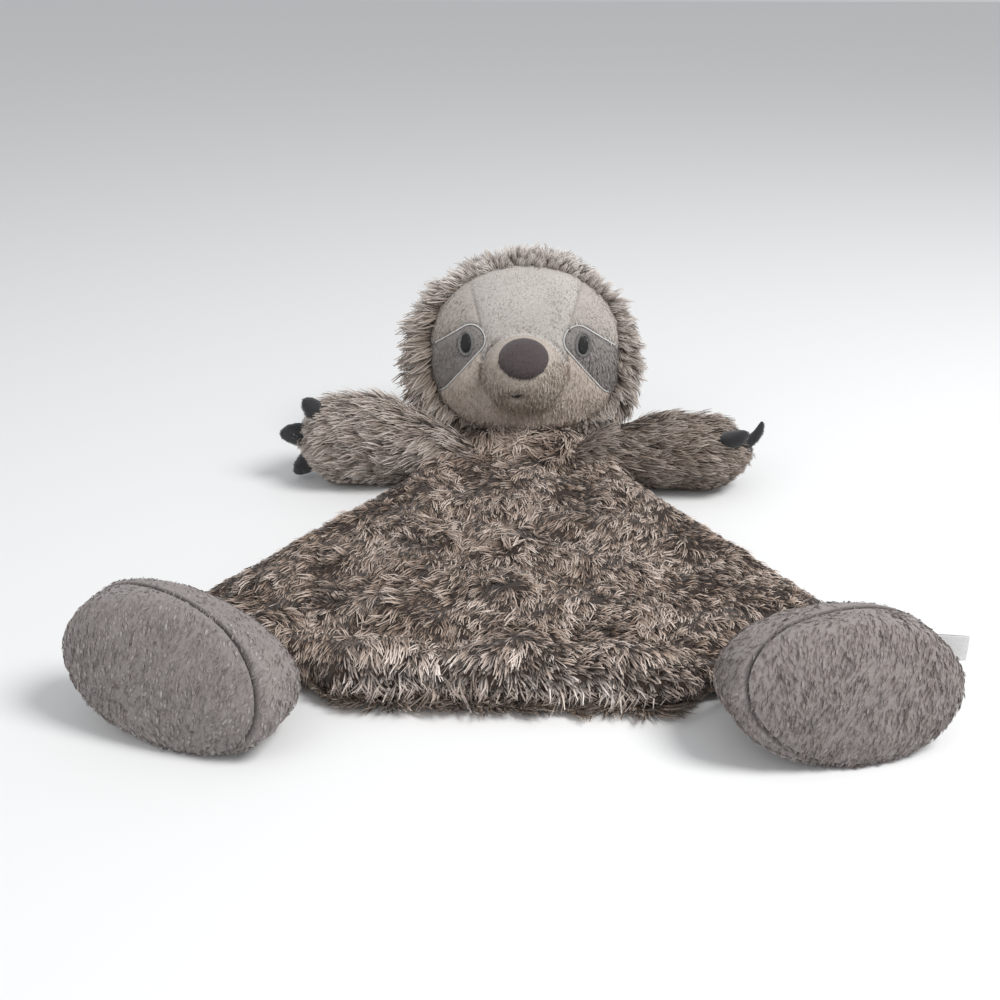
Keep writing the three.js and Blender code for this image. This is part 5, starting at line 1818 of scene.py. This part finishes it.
FLOOR_HALF = 4.0
FLOOR_ROUGHNESS = 0.85
LIGHT_AIM = Vector((0, 0, 0.03))
LIGHTS = (("key", (0.75, -0.35, 1.15), 0.6, 16.0), ("fill", (-0.9, -0.9, 0.9), 1.2, 3.5))
SKY = (0.95, 0.97, 1.0, 1)
SKY_STRENGTH = 0.58
SENSOR_WIDTH = 36
NEAREST = 0.01


def area_light(name, place, size, power):
    lamp = bpy.data.lights.new(name, "AREA")
    lamp.shape = "DISK"
    lamp.size = size
    lamp.energy = power
    holder = new_object(name, lamp)
    holder.location = place
    holder.rotation_euler = (LIGHT_AIM - Vector(place)).to_track_quat("-Z", "Y").to_euler()


class LOVEY_OT_stage(bpy.types.Operator):
    """Build the floor, the lights and the camera"""

    bl_idname = "lovey.stage"
    bl_label = "Stage"

    def execute(self, context):
        scene = context.scene
        given = scene.lovey_stage
        corners = [(x * FLOOR_HALF, y * FLOOR_HALF, 0) for x, y in ((-1, -1), (1, -1), (1, 1), (-1, 1))]
        floor = mesh_object("floor", corners, [(0, 1, 2, 3)])
        material, _, shader = new_finish("floor", FLOOR_ROUGHNESS, 0)
        shader.inputs["Base Color"].default_value = (*scene.lovey_colours.floor, 1)
        floor.data.materials.append(material)
        for light in LIGHTS:
            area_light(*light)
        world = bpy.data.worlds.new("studio")
        world.use_nodes = True
        sky = world.node_tree.nodes["Background"]
        sky.inputs["Color"].default_value = SKY
        sky.inputs["Strength"].default_value = SKY_STRENGTH
        scene.world = world
        lens = bpy.data.cameras.new("camera")
        lens.lens = given.lens
        lens.sensor_width = SENSOR_WIDTH
        lens.clip_start = NEAREST
        camera = new_object("camera", lens)
        camera.location = (given.camera_offset, -given.camera_distance, given.camera_height)
        camera.rotation_euler = (math.pi / 2 - given.camera_pitch, 0, given.camera_turn)
        scene.camera = camera
        scene.view_settings.view_transform = "Standard"
        return {"FINISHED"}


OPERATORS = (
    LOVEY_OT_stage, LOVEY_OT_blanket, LOVEY_OT_hood, LOVEY_OT_face, LOVEY_OT_features,
    LOVEY_OT_arms, LOVEY_OT_claws, LOVEY_OT_feet, LOVEY_OT_label,
)


class LOVEY_PT_sidebar(bpy.types.Panel):
    """Lists the pieces and their settings"""

    bl_idname = "LOVEY_PT_sidebar"
    bl_label = "Sloth lovey"
    bl_space_type = "VIEW_3D"
    bl_region_type = "UI"
    bl_category = "Lovey"

    def draw(self, context):
        for key in GROUPS:
            group = getattr(context.scene, key)
            for name in group.__annotations__:
                self.layout.prop(group, name)
        for operator in OPERATORS:
            self.layout.operator(operator.bl_idname)


GROUPS = {"lovey_pile": LoveyPile, "lovey_colours": LoveyColours, "lovey_stage": LoveyStage}
CLASSES = (*GROUPS.values(), *OPERATORS, LOVEY_PT_sidebar)


def register():
    for kind in CLASSES:
        bpy.utils.register_class(kind)
    for key, kind in GROUPS.items():
        setattr(bpy.types.Scene, key, PointerProperty(type=kind))


def unregister():
    for key in GROUPS:
        delattr(bpy.types.Scene, key)
    for kind in reversed(CLASSES):
        bpy.utils.unregister_class(kind)


def main():
    register()
    for operator in OPERATORS:
        getattr(bpy.ops.lovey, operator.bl_idname.split(".")[1])()


if __name__ == "__main__":
    main()
